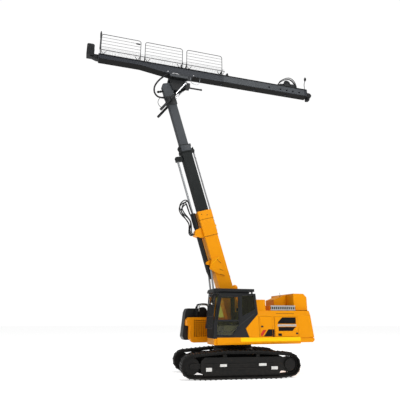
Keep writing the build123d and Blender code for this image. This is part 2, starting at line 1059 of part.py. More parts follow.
def front_cover():
    """Dark rounded housing on the house's right front corner, beside the front box."""
    shape = outline(
        [
            (deck_right_front_x, cover_low),
            (cover_front_x - cover_corner, cover_low),
            (cover_front_x, cover_toe_z),
            (cover_front_x - 3 / 2 * cover_corner, cover_high - 2 * cover_corner),
            (cover_top_x, cover_high),
            (cover_rear_x, cover_high),
            (deck_right_front_x, front_box_high),
        ]
    )
    shape = fillet(shape.vertices().sort_by(Axis.X)[2:], cover_round)
    inner = front_box_outer_y - panel_gap
    return across(shape, inner + house_half_width, (inner - house_half_width) / 2)


def air_intake():
    """Air cleaner's stack on the right tanks, with a domed cap."""
    body = upright(Circle(intake_radius), body_high, intake_high)
    dome = Sphere(intake_radius) & Pos(0, 0, intake_radius / 2) * Box(
        2 * intake_radius, 2 * intake_radius, intake_radius
    )
    body += Pos(0, 0, intake_high) * dome
    cap_low = intake_high - 2 * intake_cap
    body += upright(Circle(intake_radius + intake_cap / 3), cap_low, cap_low + intake_cap)
    return Pos(intake_x, intake_y, 0) * body


def engine():
    return block(
        engine_rear_x,
        engine_rear_x + engine_length,
        -engine_width / 2,
        engine_width / 2,
        deck_high,
        engine_high,
    )


def cab_face(inset=0):
    """Side view of the cab, raked in front and cut off at its lower rear corner."""
    face = outline(
        [
            (cab_rear_low_x, deck_high),
            (deck_front_x, deck_high),
            (cab_belt_x, cab_belt_z),
            (cab_roof_front_x, cab_high),
            (cab_roof_rear_x, cab_high),
            (cab_waist_x, cab_waist_z),
            (cab_wedge_x, cab_wedge_z),
        ]
    )
    return offset(face, -inset, kind=Kind.INTERSECTION) if inset else face


def front_x(z):
    """The raked windscreen's outer face at a height."""
    share = (z - cab_belt_z) / (cab_high - cab_belt_z)
    return cab_belt_x + share * (cab_roof_front_x - cab_belt_x)


def cab_door_face(inset=0):
    """Side view of the door leaf."""
    high = cab_high - cab_pillar
    face = outline(
        [
            (b_pillar_x + cab_door_cut, cab_door_low),
            (deck_front_x - cab_pillar, cab_door_low),
            (cab_belt_x - cab_pillar, cab_belt_z),
            (front_x(high) - cab_pillar, high),
            (b_pillar_x, high),
            (b_pillar_x, cab_door_low + cab_door_cut),
        ]
    )
    return offset(face, -inset, kind=Kind.INTERSECTION) if inset else face


def door_window_faces():
    """The door's two panes: a tall one and a low one under the rail."""
    inner = cab_door_face(cab_wall + panel_gap)
    far = cab_high
    upper = Pos(0, door_rail_z + door_rail / 2 + far / 2) * Rectangle(2 * far, far)
    lower = Pos(0, door_rail_z - door_rail / 2 - far / 2) * Rectangle(2 * far, far)
    return inner & upper, inner & lower


def side_window_face():
    """The window behind the door, with a slanted lower edge."""
    front = b_pillar_x - b_pillar_width
    rear = cab_roof_rear_x + cab_wall
    high = cab_high - cab_pillar
    return outline(
        [
            (front, cab_waist_z - cab_pillar),
            (front, high),
            (rear + cab_pillar / 2, high),
            (rear, cab_waist_z + 2 * cab_pillar),
        ]
    )


cab_middle_y = (house_half_width + cab_side_y) / 2
cab_width = house_half_width - cab_side_y


def windscreen_face():
    high = cab_high - cab_pillar
    depth = cab_wall + 2 * overrun
    return outline(
        [
            (front_x(window_low) + overrun, window_low),
            (front_x(high) + overrun, high),
            (front_x(high) + overrun - depth, high),
            (front_x(window_low) + overrun - depth, window_low),
        ]
    )


def cab_openings():
    """Everything that is cut out of the cab's shell."""
    left = house_half_width - cab_wall / 2
    right = cab_side_y + cab_wall / 2
    through = cab_wall + 2 * overrun
    upper, lower = door_window_faces()
    glass_width = cab_width - 2 * cab_pillar
    cuts = [
        across(cab_door_face(), through, left),
        across(side_window_face(), through, left),
        across(side_window_face(), through, right),
        across(upper, through, right),
        across(windscreen_face(), glass_width, cab_middle_y),
        block(
            cab_waist_x - overrun,
            cab_roof_rear_x + cab_wall + overrun,
            cab_side_y + cab_pillar,
            house_half_width - cab_pillar,
            cab_waist_z + cab_pillar,
            cab_high - cab_pillar,
        ),
    ]
    return Part() + cuts


def cab_frame():
    shell = across(cab_face(), cab_width, cab_middle_y)
    shell -= across(cab_face(cab_wall), cab_width - 2 * cab_wall, cab_middle_y)
    return shell - cab_openings()


def cab_glass():
    """Fixed panes, each in the middle of its wall."""
    depth = cab_glass_depth
    left = house_half_width - cab_wall / 2
    right = cab_side_y + cab_wall / 2
    upper, lower = door_window_faces()
    high = cab_high - cab_pillar
    set_in = cab_wall / 2
    screen = outline(
        [
            (front_x(window_low) - set_in, window_low),
            (front_x(high) - set_in, high),
            (front_x(high) - set_in - depth, high),
            (front_x(window_low) - set_in - depth, window_low),
        ]
    )
    low = cab_waist_z + cab_pillar
    rear = outline(
        [
            (rear_x(low) + set_in, low),
            (rear_x(high) + set_in, high),
            (rear_x(high) + set_in + depth, high),
            (rear_x(low) + set_in + depth, low),
        ]
    )
    panes = [
        across(side_window_face(), depth, left),
        across(side_window_face(), depth, right),
        across(upper, depth, right),
        across(screen, cab_width - 2 * cab_pillar, cab_middle_y),
        across(rear, cab_width - 2 * cab_pillar, cab_middle_y),
    ]
    return Part() + panes


def rear_x(z):
    """The cab's rear wall's outer face at a height."""
    share = (z - cab_waist_z) / (cab_high - cab_waist_z)
    return cab_waist_x + share * (cab_roof_rear_x - cab_waist_x)


def cab_door():
    upper, lower = door_window_faces()
    leaf = cab_door_face(panel_gap) - upper - lower
    return across(leaf, cab_wall, house_half_width - cab_wall / 2)


def cab_door_glass():
    upper, lower = door_window_faces()
    panes = across(upper, cab_glass_depth, house_half_width - cab_wall / 2)
    return panes + across(lower, cab_glass_depth, house_half_width - cab_wall / 2)


def visor():
    """Slab over the cab's roof, on four short posts."""
    slab = block(
        visor_rear_x,
        visor_front_x,
        cab_side_y,
        house_half_width,
        visor_low,
        visor_high,
    )
    for x in (cab_roof_rear_x + cab_pillar, cab_roof_front_x - cab_pillar - visor_post):
        for y in (cab_side_y + cab_pillar, house_half_width - cab_pillar - visor_post):
            slab += block(x, x + visor_post, y, y + visor_post, cab_high, visor_low)
    return slab


def seat():
    """Operator's seat on its pedestal, as one profile."""
    floor = deck_high + cab_wall
    front = seat_x + seat_depth
    lean = seat_pad
    profile = outline(
        [
            (seat_x + seat_pad, floor),
            (front - seat_pad, floor),
            (front - seat_pad, seat_high - seat_pad),
            (front, seat_high - seat_pad),
            (front, seat_high),
            (seat_x + seat_pad, seat_high),
            (seat_x + seat_pad - lean, seat_back_high),
            (seat_x - lean, seat_back_high),
            (seat_x, seat_high - seat_pad),
            (seat_x + seat_pad, seat_high - seat_pad),
        ]
    )
    return across(profile, seat_width, seat_y)


def consoles():
    """Arm consoles beside the seat, standing on the cab's floor."""
    floor = deck_high + cab_wall
    pieces = []
    for side in (1, -1):
        inner = seat_y + side * (seat_width / 2 + overrun)
        outer = inner + side * console_width
        outer = max(min(outer, house_half_width - 2 * cab_wall), cab_side_y + 2 * cab_wall)
        pieces.append(
            block(
                seat_x,
                seat_x + console_length,
                min(inner, outer),
                max(inner, outer),
                floor,
                console_high,
            )
        )
    return Part() + pieces


# Boom


def tube(depth, width, wall, low, high):
    """Square tube along the boom."""
    section = Rectangle(depth, width) - Rectangle(depth - 2 * wall, width - 2 * wall)
    return upright(section, low, high)


def boom_base():
    """Base section: solid foot, box tube, gusset cheeks and the guide collar."""
    top = base_length
    foot = make_hull(
        [
            Circle(boom_bracket_radius).edge(),
            Line((-base_depth / 2, base_foot_solid), (base_depth / 2, base_foot_solid)),
        ]
    )
    body = across(foot, base_width - 2 * running_gap)
    body += tube(base_depth, base_width, base_wall, base_foot_solid - overrun, top)
    body += tube(
        base_depth + 2 * box_proud,
        base_width + 2 * box_proud,
        base_wall + box_proud,
        top - box_length,
        top,
    )
    ring = Rectangle(base_depth + 2 * collar_proud, base_width + 2 * collar_proud)
    ring -= Rectangle(second_depth + 2 * running_gap, second_width + 2 * running_gap)
    body += upright(ring, top - collar_length, top)
    face = base_depth / 2
    boss = Pos(lift_eye_u, lift_eye_w) * Circle(gusset_round)
    # the cheek's corners, as places across and along the boom
    cheek = make_hull(
        [
            boss.edge(),
            Line((gusset_rear_u, gusset_low), (gusset_knee_u, gusset_low + gusset_knee_rise)),
            Line((gusset_rear_u, gusset_high), (face - overrun, gusset_high)),
        ]
    )
    inner = base_width / 2 - base_wall / 2
    outer = base_width / 2 + gusset_plate
    for side in (1, -1):
        plate = across(cheek, outer - inner, side * (outer + inner) / 2)
        ahead = cheek & (Pos(face + base_depth, lift_eye_w) * Rectangle(2 * base_depth, base_length))
        body += plate - across(ahead, 2 * (base_width / 2 - inner), side * inner)
        body += disc(
            lift_eye_u, lift_eye_w, lift_pin_radius, gusset_plate, side * (outer - gusset_plate / 3)
        )
    body -= disc(0, 0, boom_pin_radius + pin_gap, 2 * base_width)
    hanger = make_hull(
        [
            (Pos(telescope_u, telescope_trunnion_w) * Circle(telescope_lug_round)).edge(),
            Line(
                (face - overrun, telescope_trunnion_w - 2 * telescope_lug_round),
                (face - overrun, telescope_trunnion_w + 2 * telescope_lug_round),
            ),
        ]
    )
    reach = telescope_barrel_radius + running_gap + telescope_lug_plate / 2
    for side in (1, -1):
        body += across(hanger, telescope_lug_plate, side * reach)
    clamp_low = top - clamp_drop
    # share of the clamp's reach over the front face, share of its length
    clamp_shares = [(0.35, 0.0), (1.0, 0.45), (0.75, 1.0), (0.0, 1.15)]
    reach = telescope_u + clamp_reach - face
    clamp = [(face - overrun, clamp_low)]
    clamp += [(face + out * reach, clamp_low + rise * clamp_length) for out, rise in clamp_shares]
    clamp += [(face - overrun, clamp_low + clamp_shares[-1][1] * clamp_length)]
    clamp = across(outline(clamp), 2 * clamp_half_width)
    clamp -= Pos(telescope_u, 0, clamp_low + clamp_length / 2) * Cylinder(
        telescope_barrel_radius, 2 * clamp_length
    )
    body += clamp
    return boom_frame * (body + pipe_guide())


def pipe_places():
    """Places of the hose pipes behind the second stage, across the machine."""
    return [(place - (pipe_count - 1) / 2) * pipe_pitch for place in range(pipe_count)]


def pipe_plate(root_u, low, height, hole):
    """Plate that stands behind the boom and holds the pipes in holes."""
    half_width = (pipe_count - 1) / 2 * pipe_pitch + pipe_holder
    plate = block(pipe_u - pipe_holder, root_u, -half_width, half_width, low, low + height)
    for y in pipe_places():
        plate -= Pos(pipe_u, y, low + height / 2) * Cylinder(hole, 2 * height)
    return plate


def pipe_guide():
    """Guide on the base section, through which the pipes slide."""
    return pipe_plate(
        overrun - base_depth / 2 - box_proud,
        base_length - pipe_guide_drop,
        pipe_guide_height,
        pipe_radius + knuckle_room,
    )


def hose_pipes():
    """Pipes that hang behind the second stage from its collar."""
    low = base_length - pipe_guide_drop - pipe_grip
    high = second_top - second_collar / 3
    pipes = pipe_plate(
        overrun - second_depth / 2 - second_collar_proud,
        second_top - second_collar,
        second_collar / 3,
        pipe_radius,
    )
    for y in pipe_places():
        pipes += Pos(pipe_u, y, (low + high) / 2) * Cylinder(pipe_radius, high - low)
    return pipes


def telescope_barrel():
    """Barrel along the boom's front, hung between two lugs, with a tapered tail."""
    foot = telescope_foot_w
    top = telescope_barrel_top
    barrel = Pos(0, 0, foot + (top - foot) / 2) * Cylinder(telescope_barrel_radius, top - foot)
    head_low = top - telescope_head_length
    barrel += Pos(0, 0, (top + head_low) / 2) * Cylinder(
        telescope_barrel_radius + telescope_head_proud, top - head_low
    )
    tail = foot - telescope_tail_w
    barrel += Pos(0, 0, foot - tail / 2) * Cone(telescope_tail_radius, telescope_barrel_radius, tail)
    bore_low = foot - telescope_barrel_radius + overrun
    barrel -= Pos(0, 0, (bore_low + top + overrun) / 2) * Cylinder(
        telescope_rod_radius + running_gap, top + overrun - bore_low
    )
    pin = disc(0, telescope_trunnion_w, telescope_rod_radius, 2 * (telescope_barrel_radius + running_gap))
    pin -= Pos(0, 0, telescope_trunnion_w) * Cylinder(
        telescope_rod_radius + running_gap, 3 * telescope_rod_radius
    )
    return boom_frame * Pos(telescope_u, 0, 0) * (barrel + pin)


def boom_second():
    """Second stage: tube, foot pads, top collar and the cylinder's bracket."""
    low = second_top - second_length
    body = tube(second_depth, second_width, second_wall, low, second_top)
    pads = Rectangle(
        base_depth - 2 * base_wall - 2 * running_gap,
        base_width - 2 * base_wall - 2 * running_gap,
    )
    pads -= Rectangle(second_depth - 2 * second_wall, second_width - 2 * second_wall)
    body += upright(pads, low, low + shoe_pad_length)
    proud = second_collar_proud
    ring = Rectangle(second_depth + 2 * proud, second_width + 2 * proud)
    ring -= Rectangle(third_depth + 2 * running_gap, third_width + 2 * running_gap)
    band = second_collar / 3
    body += upright(ring, second_top - second_collar, second_top - second_collar + band)
    body += upright(ring, second_top - band, second_top)
    core = Rectangle(second_depth + proud, second_width + proud)
    core -= Rectangle(third_depth + 2 * running_gap, third_width + 2 * running_gap)
    body += upright(core, second_top - second_collar, second_top)
    half = telescope_bracket_height / 2
    body += block(
        second_depth / 2 - second_wall,
        telescope_u + telescope_bracket_width / 3,
        -telescope_bracket_width / 2,
        telescope_bracket_width / 2,
        telescope_bracket_w - half,
        telescope_bracket_w + half,
    )
    return boom_frame * (body + hose_pipes())


def telescope_rod():
    low = telescope_barrel_top - telescope_rod_grip
    high = telescope_bracket_w - telescope_bracket_height / 2
    rod = Pos(telescope_u, 0, (low + high) / 2) * Cylinder(telescope_rod_radius, high - low)
    return boom_frame * rod


def boom_third():
    low = third_top - third_length
    body = tube(third_depth, third_width, third_wall, low, third_top)
    pads = Rectangle(
        second_depth - 2 * second_wall - 2 * running_gap,
        second_width - 2 * second_wall - 2 * running_gap,
    )
    pads -= Rectangle(third_depth - 2 * third_wall, third_width - 2 * third_wall)
    body += upright(pads, low, low + shoe_pad_length)
    return boom_frame * body


def boom_head():
    """Head on the third stage: dark collar, block, hinge boss and tilt lugs."""
    proud = head_collar_proud
    collar = Rectangle(third_depth + 2 * proud, third_width + 2 * proud)
    body = upright(collar, third_top, head_collar_top)
    rear_u = -third_depth / 2
    face = outline(
        [
            (rear_u, head_collar_top - overrun),
            (head_front_u, head_collar_top - overrun),
            (head_front_u, head_top),
            (rear_u, head_top),
        ]
    )
    face = fillet(face.vertices().sort_by(Axis.Y)[2:], head_round)
    web = make_hull(
        [
            (Pos(hinge_u, hinge_w) * Circle(hinge_boss_radius)).edge(),
            Line((rear_u / 2, head_collar_top), (rear_u / 2, hinge_w)),
        ]
    )
    body += across(face + web, head_width)
    body -= disc(hinge_u, hinge_w, hinge_pin_radius + pin_gap, 2 * head_width)
    bar_length = head_bar_reach - head_front_u + overrun
    bar = Rot(0, 90, 0) * Cylinder(head_bar_radius, bar_length)
    body += Pos(head_bar_reach - bar_length / 2, 0, head_collar_top + head_bar_rise) * bar
    inner = tilt_y - trunnion_radius
    body += disc(tilt_foot_u, tilt_foot_w, trunnion_tube_radius, 2 * (inner - running_gap))
    body += disc(tilt_foot_u, tilt_foot_w, trunnion_pin_radius, 2 * (inner + trunnion_pin_grip - running_gap))
    return boom_frame * body


# Cylinders


def cylinder_frame(foot, eye):
    """Frame at a cylinder's foot pin, its Z towards the rod's eye, and the pins' distance."""
    dx = eye[0] - foot[0]
    dz = eye[1] - foot[1]
    return Location((foot[0], 0, foot[1]), (0, degrees(atan2(dx, dz)), 0)), hypot(dx, dz)


def barrel(radius, length, bore_radius, bore_low, eye_radius, eye_width, pin_radius, y=0):
    """Barrel standing on its foot eye, with the rod's bore open at the top."""
    neck_high = 2 * eye_radius
    body = Pos(0, y, length / 2) * Cylinder(radius, length)
    body -= block(-radius, radius, y - radius, y + radius, 0, neck_high)
    neck = block(-eye_radius, eye_radius, y - eye_width / 2, y + eye_width / 2, 0, neck_high)
    body += neck & (Pos(0, y, neck_high / 2) * Cylinder(radius, neck_high))
    body += disc(0, 0, eye_radius, eye_width, y)
    body -= disc(0, 0, pin_radius + pin_gap, 2 * radius, y)
    bore = length - bore_low + overrun
    return body - Pos(0, y, bore_low + bore / 2) * Cylinder(bore_radius, bore)


def rod(radius, low, high, eye_radius, eye_width, y=0):
    body = Pos(0, y, (low + high) / 2) * Cylinder(radius, high - low)
    return body + disc(0, high, eye_radius, eye_width, y)


lift_frame, lift_length = cylinder_frame(
    (lift_foot_x, lift_foot_z), boom_point(lift_eye_u, lift_eye_w)
)
tilt_frame, tilt_length = cylinder_frame(boom_point(tilt_foot_u, tilt_foot_w), tilt_eye)


def lift_barrels():
    def one(side):
        return barrel(
            lift_barrel_radius,
            lift_barrel_length,
            lift_rod_radius + running_gap,
            2 * lift_barrel_radius,
            lift_eye_radius,
            lift_eye_width,
            lift_pin_radius,
            side * lift_y,
        )

    return lift_frame * both_sides(one)


def lift_rods():
    def one(side):
        low = lift_barrel_length - lift_rod_grip
        return rod(
            lift_rod_radius, low, lift_length, lift_rod_eye_radius, lift_eye_width, side * lift_y
        )

    return lift_frame * both_sides(one)


def tilt_barrel():
    """Barrels beside the boom's head, each turning on a trunnion, their tails below."""

    def one(side):
        length = tilt_barrel_length + tilt_tail_length
        middle = (tilt_barrel_length - tilt_tail_length) / 2
        body = Pos(0, 0, middle) * Cylinder(tilt_barrel_radius, length)
        body += Cylinder(trunnion_radius, trunnion_height)
        body += Pos(0, 0, tilt_barrel_length - trunnion_height / 4) * Cylinder(
            tilt_gland_radius, trunnion_height / 2
        )
        bore = length - tilt_tail_wall + overrun
        body -= Pos(0, 0, tilt_barrel_length + overrun - bore / 2) * Cylinder(
            tilt_rod_radius + running_gap, bore
        )
        width = trunnion_pin_grip + overrun + running_gap
        hole_middle = -side * (trunnion_radius + overrun - width / 2)
        body -= disc(0, 0, trunnion_pin_radius + pin_gap, width, hole_middle)
        return Pos(0, side * tilt_y, 0) * body

    return tilt_frame * both_sides(one)


def tilt_rod():
    def one(side):
        low = tilt_barrel_length - tilt_rod_grip
        return rod(
            tilt_rod_radius, low, tilt_length, tilt_eye_radius, tilt_eye_width, side * tilt_y
        )

    return tilt_frame * both_sides(one)


# Mast beam


def beam_face(inset):
    """Side view of the beam: level on top, deepest over the hinge, thin in front."""
    top = beam_top - inset
    return outline(
        [
            (beam_rear, top),
            (beam_front, top),
            (beam_front, beam_top - front_depth + inset),
            (front_taper_x, beam_top - front_depth + inset),
            (haunch_start_x, beam_top - haunch_depth + inset),
            (haunch_end_x, beam_top - haunch_depth + inset),
            (haunch_end_x - haunch_depth, beam_top - beam_depth + inset),
            (beam_rear, beam_top - beam_depth + inset),
        ]
    )


def mast_beam():
    body = across(beam_face(0), beam_width)
    body -= across(beam_face(beam_wall), beam_width - 2 * beam_wall)
    places = [web_hole_first_x + place * web_hole_pitch for place in range(web_hole_count)]
    for x in places + [lone_hole_x]:
        body -= disc(x, beam_top - web_hole_drop, web_hole_radius, 2 * beam_width)
    lug_top = beam_top - beam_depth
    for place in range(lug_count):
        x = lug_first_x + place * lug_pitch
        lug = outline(
            [
                (x, lug_top + beam_wall / 2),
                (x + lug_length / 4, lug_top - lug_depth),
                (x + 3 / 4 * lug_length, lug_top - lug_depth),
                (x + lug_length, lug_top + beam_wall / 2),
            ]
        )
        body += across(lug, beam_width / 4)
    return body


def mast_bracket():
    """Two cheeks under the beam with the hinge pin, a wide saddle and the rods' bosses."""
    high = beam_top - haunch_depth
    eye = (-tilt_eye_back, tilt_eye_rise)
    cheek = outline(
        [
            (bracket_rear_x, high),
            (bracket_rear_x, tilt_eye_rise - tilt_eye_radius),
            (bracket_heel_x, bracket_low),
            (bracket_toe_x, bracket_low),
            (bracket_front_x, saddle_low),
            (bracket_front_x, high),
        ]
    )
    cheek += Circle(bracket_boss_radius)
    inner = head_width / 2 + running_gap
    reach = inner + bracket_plate / 2
    body = Part()
    eye_reach = tilt_y - tilt_eye_width / 2 - running_gap
    for side in (1, -1):
        body += across(cheek, bracket_plate, side * reach)
        body += disc(*eye, tilt_eye_radius, eye_reach - reach, side * (reach + eye_reach) / 2)
    body += block(
        bracket_rear_x,
        bracket_front_x,
        -saddle_half_width,
        saddle_half_width,
        saddle_low,
        saddle_high,
    )
    stop_z = tilt_eye_rise
    body += block(
        bracket_rear_x - stop_bar_block,
        bracket_rear_x + overrun,
        -reach,
        reach,
        stop_z - bracket_plate,
        stop_z + stop_bar_block,
    )
    bar_front = bracket_rear_x - stop_bar_block + overrun
    bar = Rot(0, 90, 0) * Cylinder(stop_bar_radius, bar_front - stop_bar_reach)
    body += Pos((bar_front + stop_bar_reach) / 2, 0, stop_z) * bar
    body += Pos(stop_bar_reach, 0, stop_z) * Sphere(stop_bar_knob)
    return body + disc(0, 0, hinge_pin_radius, 2 * reach)


def beam_heads():
    """Pulley block on the front end, chain drive on the rear end."""
    face_z = beam_top - front_depth
    nose = across(
        outline(
            [
                (beam_front, face_z),
                (beam_front + front_depth / 2, face_z),
                (front_head_reach - front_depth / 2, beam_top - front_depth / 2),
                (front_head_reach - front_depth / 2, beam_top),
                (beam_front, beam_top),
            ]
        ),
        beam_width / 2,
    )
    block_low = beam_top - front_depth / 2
    block_rear = front_head_reach - front_block_length
    tower = outline(
        [
            (block_rear, block_low),
            (front_head_reach, block_low),
            (front_head_reach, front_block_high),
            (block_rear, front_block_high),
        ]
    )
    tower = fillet(tower.vertices().sort_by(Axis.Y)[2:], front_depth / 3)
    sheave_x = front_head_reach - front_block_length / 2
    sheave_z = beam_top + front_sheave_rise
    cheek = front_block_half_width / 3
    slot = across(tower, 2 * (front_block_half_width - cheek))
    tower = across(tower, 2 * front_block_half_width)
    mouth = block(
        block_rear - overrun,
        front_head_reach + overrun,
        cheek - front_block_half_width,
        front_block_half_width - cheek,
        beam_top + beam_wall,
        front_block_high + overrun,
    )
    tower -= slot & mouth
    sheave = disc(sheave_x, sheave_z, front_sheave_radius, 2 * front_block_half_width - 3 * cheek)
    sheave += disc(sheave_x, sheave_z, hinge_pin_radius, 2 * front_block_half_width)
    radius = rear_wheel_radius
    middle_z = beam_top - web_hole_drop
    rear = make_hull(
        [
            (Pos(rear_head_reach + radius, middle_z) * Circle(radius)).edge(),
            Line((beam_rear - beam_wall, middle_z - radius), (beam_rear - beam_wall, middle_z + radius)),
        ]
    )
    casing = make_hull(
        [
            (Pos(drive_motor_x, drive_motor_z) * Circle(drive_motor_radius)).edge(),
            (Pos(rear_head_reach + radius, middle_z) * Circle(drive_motor_radius)).edge(),
        ]
    )
    motor = across(casing, drive_motor_width / 2, -drive_motor_width / 4)
    motor += disc(drive_motor_x, drive_motor_z, drive_motor_radius / 2, 2 * drive_motor_width)
    plates = [
        block(x_low, x_low + beam_wall, -beam_width / 2, beam_width / 2, low, beam_top)
        for x_low, low in ((beam_rear - beam_wall, beam_top - beam_depth), (beam_front, face_z))
    ]
    return Part() + [
        nose + tower + sheave + plates[1],
        across(rear, beam_width / 2) + motor + plates[0],
    ]


def walkway():
    """Floor on brackets over the beam."""
    floor = block(
        walkway_rear,
        walkway_front,
        -walkway_half_width,
        walkway_half_width,
        walkway_floor_z - walkway_plate,
        walkway_floor_z,
    )
    for rear in rail_panel_rears:
        for x in (rear, rear + rail_panel_length):
            floor += block(
                x - walkway_bracket / 2,
                x + walkway_bracket / 2,
                -beam_width / 2,
                beam_width / 2,
                beam_top,
                walkway_floor_z - walkway_plate,
            )
    edge = walkway_half_width - rail_tube_radius - post_radius - running_gap - kick_plate / 2
    for side in (1, -1):
        floor += block(
            walkway_rear,
            walkway_front,
            side * edge - kick_plate / 2,
            side * edge + kick_plate / 2,
            walkway_floor_z - overrun,
            walkway_floor_z + kick_height,
        )
    return floor


def rail_panel(rear):
    """One railing panel: a bent tube loop with level bars in it."""
    front = rear + rail_panel_length
    y = walkway_half_width - rail_tube_radius
    low = walkway_floor_z
    high = walkway_floor_z + rail_panel_height
    path = FilletPolyline((rear, y, low), (rear, y, high), (front, y, high), (front, y, low), radius=rail_corner)
    section = Plane(origin=path @ 0, z_dir=path % 0) * Circle(rail_tube_radius)
    panel = sweep(section, path=path)
    step = rail_panel_height / (rail_bars + 1)
    for bar in range(rail_bars):
        z = low + (bar + 1) * step
        length = rail_panel_length
        panel += Pos((rear + front) / 2, y, z) * (Rot(0, 90, 0) * Cylinder(rail_bar_radius, length))
    return panel


def railings():
    panels = [rail_panel(rear) for rear in rail_panel_rears]
    y = walkway_half_width - rail_tube_radius
    post_x = walkway_front - post_radius
    height = post_top - walkway_floor_z
    panels.append(Pos(post_x, y, walkway_floor_z + height / 2) * Cylinder(post_radius, height))
    return Part() + panels


# Every node and its solid

save_carrier("track_left", track(1))
save_carrier("track_right", track(-1))
save_carrier("track_frame_left", track_frame(1))
save_carrier("track_frame_right", track_frame(-1))
save_carrier("rollers", both_sides(rollers))
save_carrier("idlers", both_sides(idler))
save_carrier("sprockets", both_sides(sprocket))
save_carrier("centre_frame", centre_frame())
save_carrier("slew_ring", slew_ring())
save("deck", deck())
save("counterweight", counterweight())
save("tail_cover", tail_cover())
save("right_tanks", right_tanks())
save("front_box", front_box())
save("front_cover", front_cover())
save("air_intake", air_intake())
save("engine", engine())

rear_door_low_x = house_rear_x + door_frame
rear_door_high_x = hood_front_x - door_frame
front_door_low_x = hood_front_x + panel_wall
front_door_high_x = cabinet_front_x - panel_wall
leaf_low = door_low + panel_gap
leaf_high = door_high - panel_gap

lid_hinge = Location(
    (lid_front_x + knuckle_radius / 2, lid_half_width, body_high + knuckle_radius / 2),
    (90, 0, 0),
)
leaves = {}
hood_shell, leaves["hood_lid"] = hung(hood(), hood_lid(), lid_hinge, 2 * lid_half_width)
for side, node in ((1, "door_left_rear"), (-1, "door_right")):
    hood_shell, leaves[node] = hung(
        hood_shell,
        vented_door(side),
        Location((rear_door_high_x - panel_gap, side * house_half_width, leaf_low)),
        leaf_high - leaf_low,
    )
cabinet_shell, leaves["door_left_front"] = hung(
    left_cabinet(),
    service_door(front_door_low_x, front_door_high_x, 1),
    Location((front_door_high_x - panel_gap, house_half_width, leaf_low)),
    leaf_high - leaf_low,
)
cab_shell, leaves["cab_door"] = hung(
    cab_frame(),
    cab_door(),
    Location((b_pillar_x + panel_gap, house_half_width, cab_door_low + cab_door_cut)),
    cab_high - cab_pillar - cab_door_low - cab_door_cut,
)
save("hood", hood_shell)
save("left_cabinet", cabinet_shell)
save("cab_frame", cab_shell)
for node, leaf in leaves.items():
    save(node, leaf)
save("cab_glass", cab_glass())
save("cab_door_glass", cab_door_glass())
save("visor", visor())
save("seat", seat())
save("consoles", consoles())
save("boom_base", boom_base())
save("telescope_barrel", telescope_barrel())
save("boom_second", boom_second())
save("telescope_rod", telescope_rod())
save("boom_third", boom_third())
save("boom_head", boom_head())
save("lift_barrels", lift_barrels())
save("lift_rods", lift_rods())
save("tilt_barrel", tilt_barrel())
save("tilt_rod", tilt_rod())
save("mast_bracket", mast_frame * mast_bracket())
save("mast_beam", mast_frame * mast_beam())
save("beam_heads", mast_frame * beam_heads())
save("walkway", mast_frame * walkway())
save("railings", mast_frame * railings())
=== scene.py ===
# %% [markdown]
# # A crawler rig with a telescopic boom and a level mast beam
# The real machine is a tracked carrier whose house slews on a ring. A three-stage boom
# holds a thirteen metre beam with a walkway. The construction is already there as a fixed
# frame, so this lesson is about finishes and the small things that a frame leaves out.

import json
import math

import bmesh
import bpy
from mathutils import Matrix, Vector


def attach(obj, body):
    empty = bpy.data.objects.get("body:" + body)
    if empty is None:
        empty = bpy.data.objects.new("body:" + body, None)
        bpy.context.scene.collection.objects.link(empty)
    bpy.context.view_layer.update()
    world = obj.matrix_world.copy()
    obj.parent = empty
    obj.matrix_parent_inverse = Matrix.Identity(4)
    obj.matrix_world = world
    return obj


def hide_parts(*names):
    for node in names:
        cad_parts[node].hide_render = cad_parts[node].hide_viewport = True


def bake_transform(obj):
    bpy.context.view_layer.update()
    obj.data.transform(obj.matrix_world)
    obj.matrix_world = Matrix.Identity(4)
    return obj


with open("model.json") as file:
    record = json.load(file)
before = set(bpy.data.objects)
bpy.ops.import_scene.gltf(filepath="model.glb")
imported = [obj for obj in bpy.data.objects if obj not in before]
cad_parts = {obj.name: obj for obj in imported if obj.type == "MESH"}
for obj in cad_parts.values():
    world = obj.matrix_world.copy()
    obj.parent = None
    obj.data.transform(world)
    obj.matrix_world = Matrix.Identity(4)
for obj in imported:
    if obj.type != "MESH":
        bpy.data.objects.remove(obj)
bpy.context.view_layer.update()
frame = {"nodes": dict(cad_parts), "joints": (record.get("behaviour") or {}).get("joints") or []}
joints = {joint["name"]: joint for joint in frame["joints"]}

# %% [markdown]
# ## Four places to measure from
# Everything on the house is easiest to place from the slewing axis, everything on the boom
# from the boom's foot pin with Z along the boom, and everything on the beam from the hinge
# pin at the boom's head. The joints of the frame say where those are. The carrier stands
# turned six degrees under the house.

# %% Measuring frames


def joint_place(name):
    """Where a joint of the frame lies at rest."""
    return Vector(joints[name]["pos_m"])


slew = Matrix.Translation((joint_place("house_slew").x, 0, 0))
boom_run = Vector(joints["stage_2_slide"]["axis"])
boom_lean = math.atan2(boom_run.x, boom_run.z)
boom = Matrix.Translation(joint_place("boom_luff")) @ Matrix.Rotation(boom_lean, 4, "Y")
mast = Matrix.Translation(joint_place("mast_tilt"))
carrier = slew @ Matrix.Rotation(math.radians(-6.0), 4, "Z")
print("boom leans", round(math.degrees(boom_lean), 2), "degrees")

# %% [markdown]
# ## The view
# The photographer stood about nineteen metres away on the machine's left, a little in
# front of it, and tilted the camera up to take in the beam. A plain perspective camera
# with no shift gives the same converging verticals.

# %% Camera
camera_place = Vector((6.678, 17.85, 2.36))
camera_data = bpy.data.cameras.new("camera")
camera_data.lens = 34.83
camera_data.sensor_width = 36.0
camera_data.clip_end = 400.0
camera = bpy.data.objects.new("camera", camera_data)
camera.location = slew @ camera_place
camera.rotation_euler = (math.radians(107.2), 0.0, math.radians(164.0))
bpy.context.scene.collection.objects.link(camera)
bpy.context.scene.camera = camera
print("camera", round(camera_place.xy.length, 1), "metres from the slewing axis")

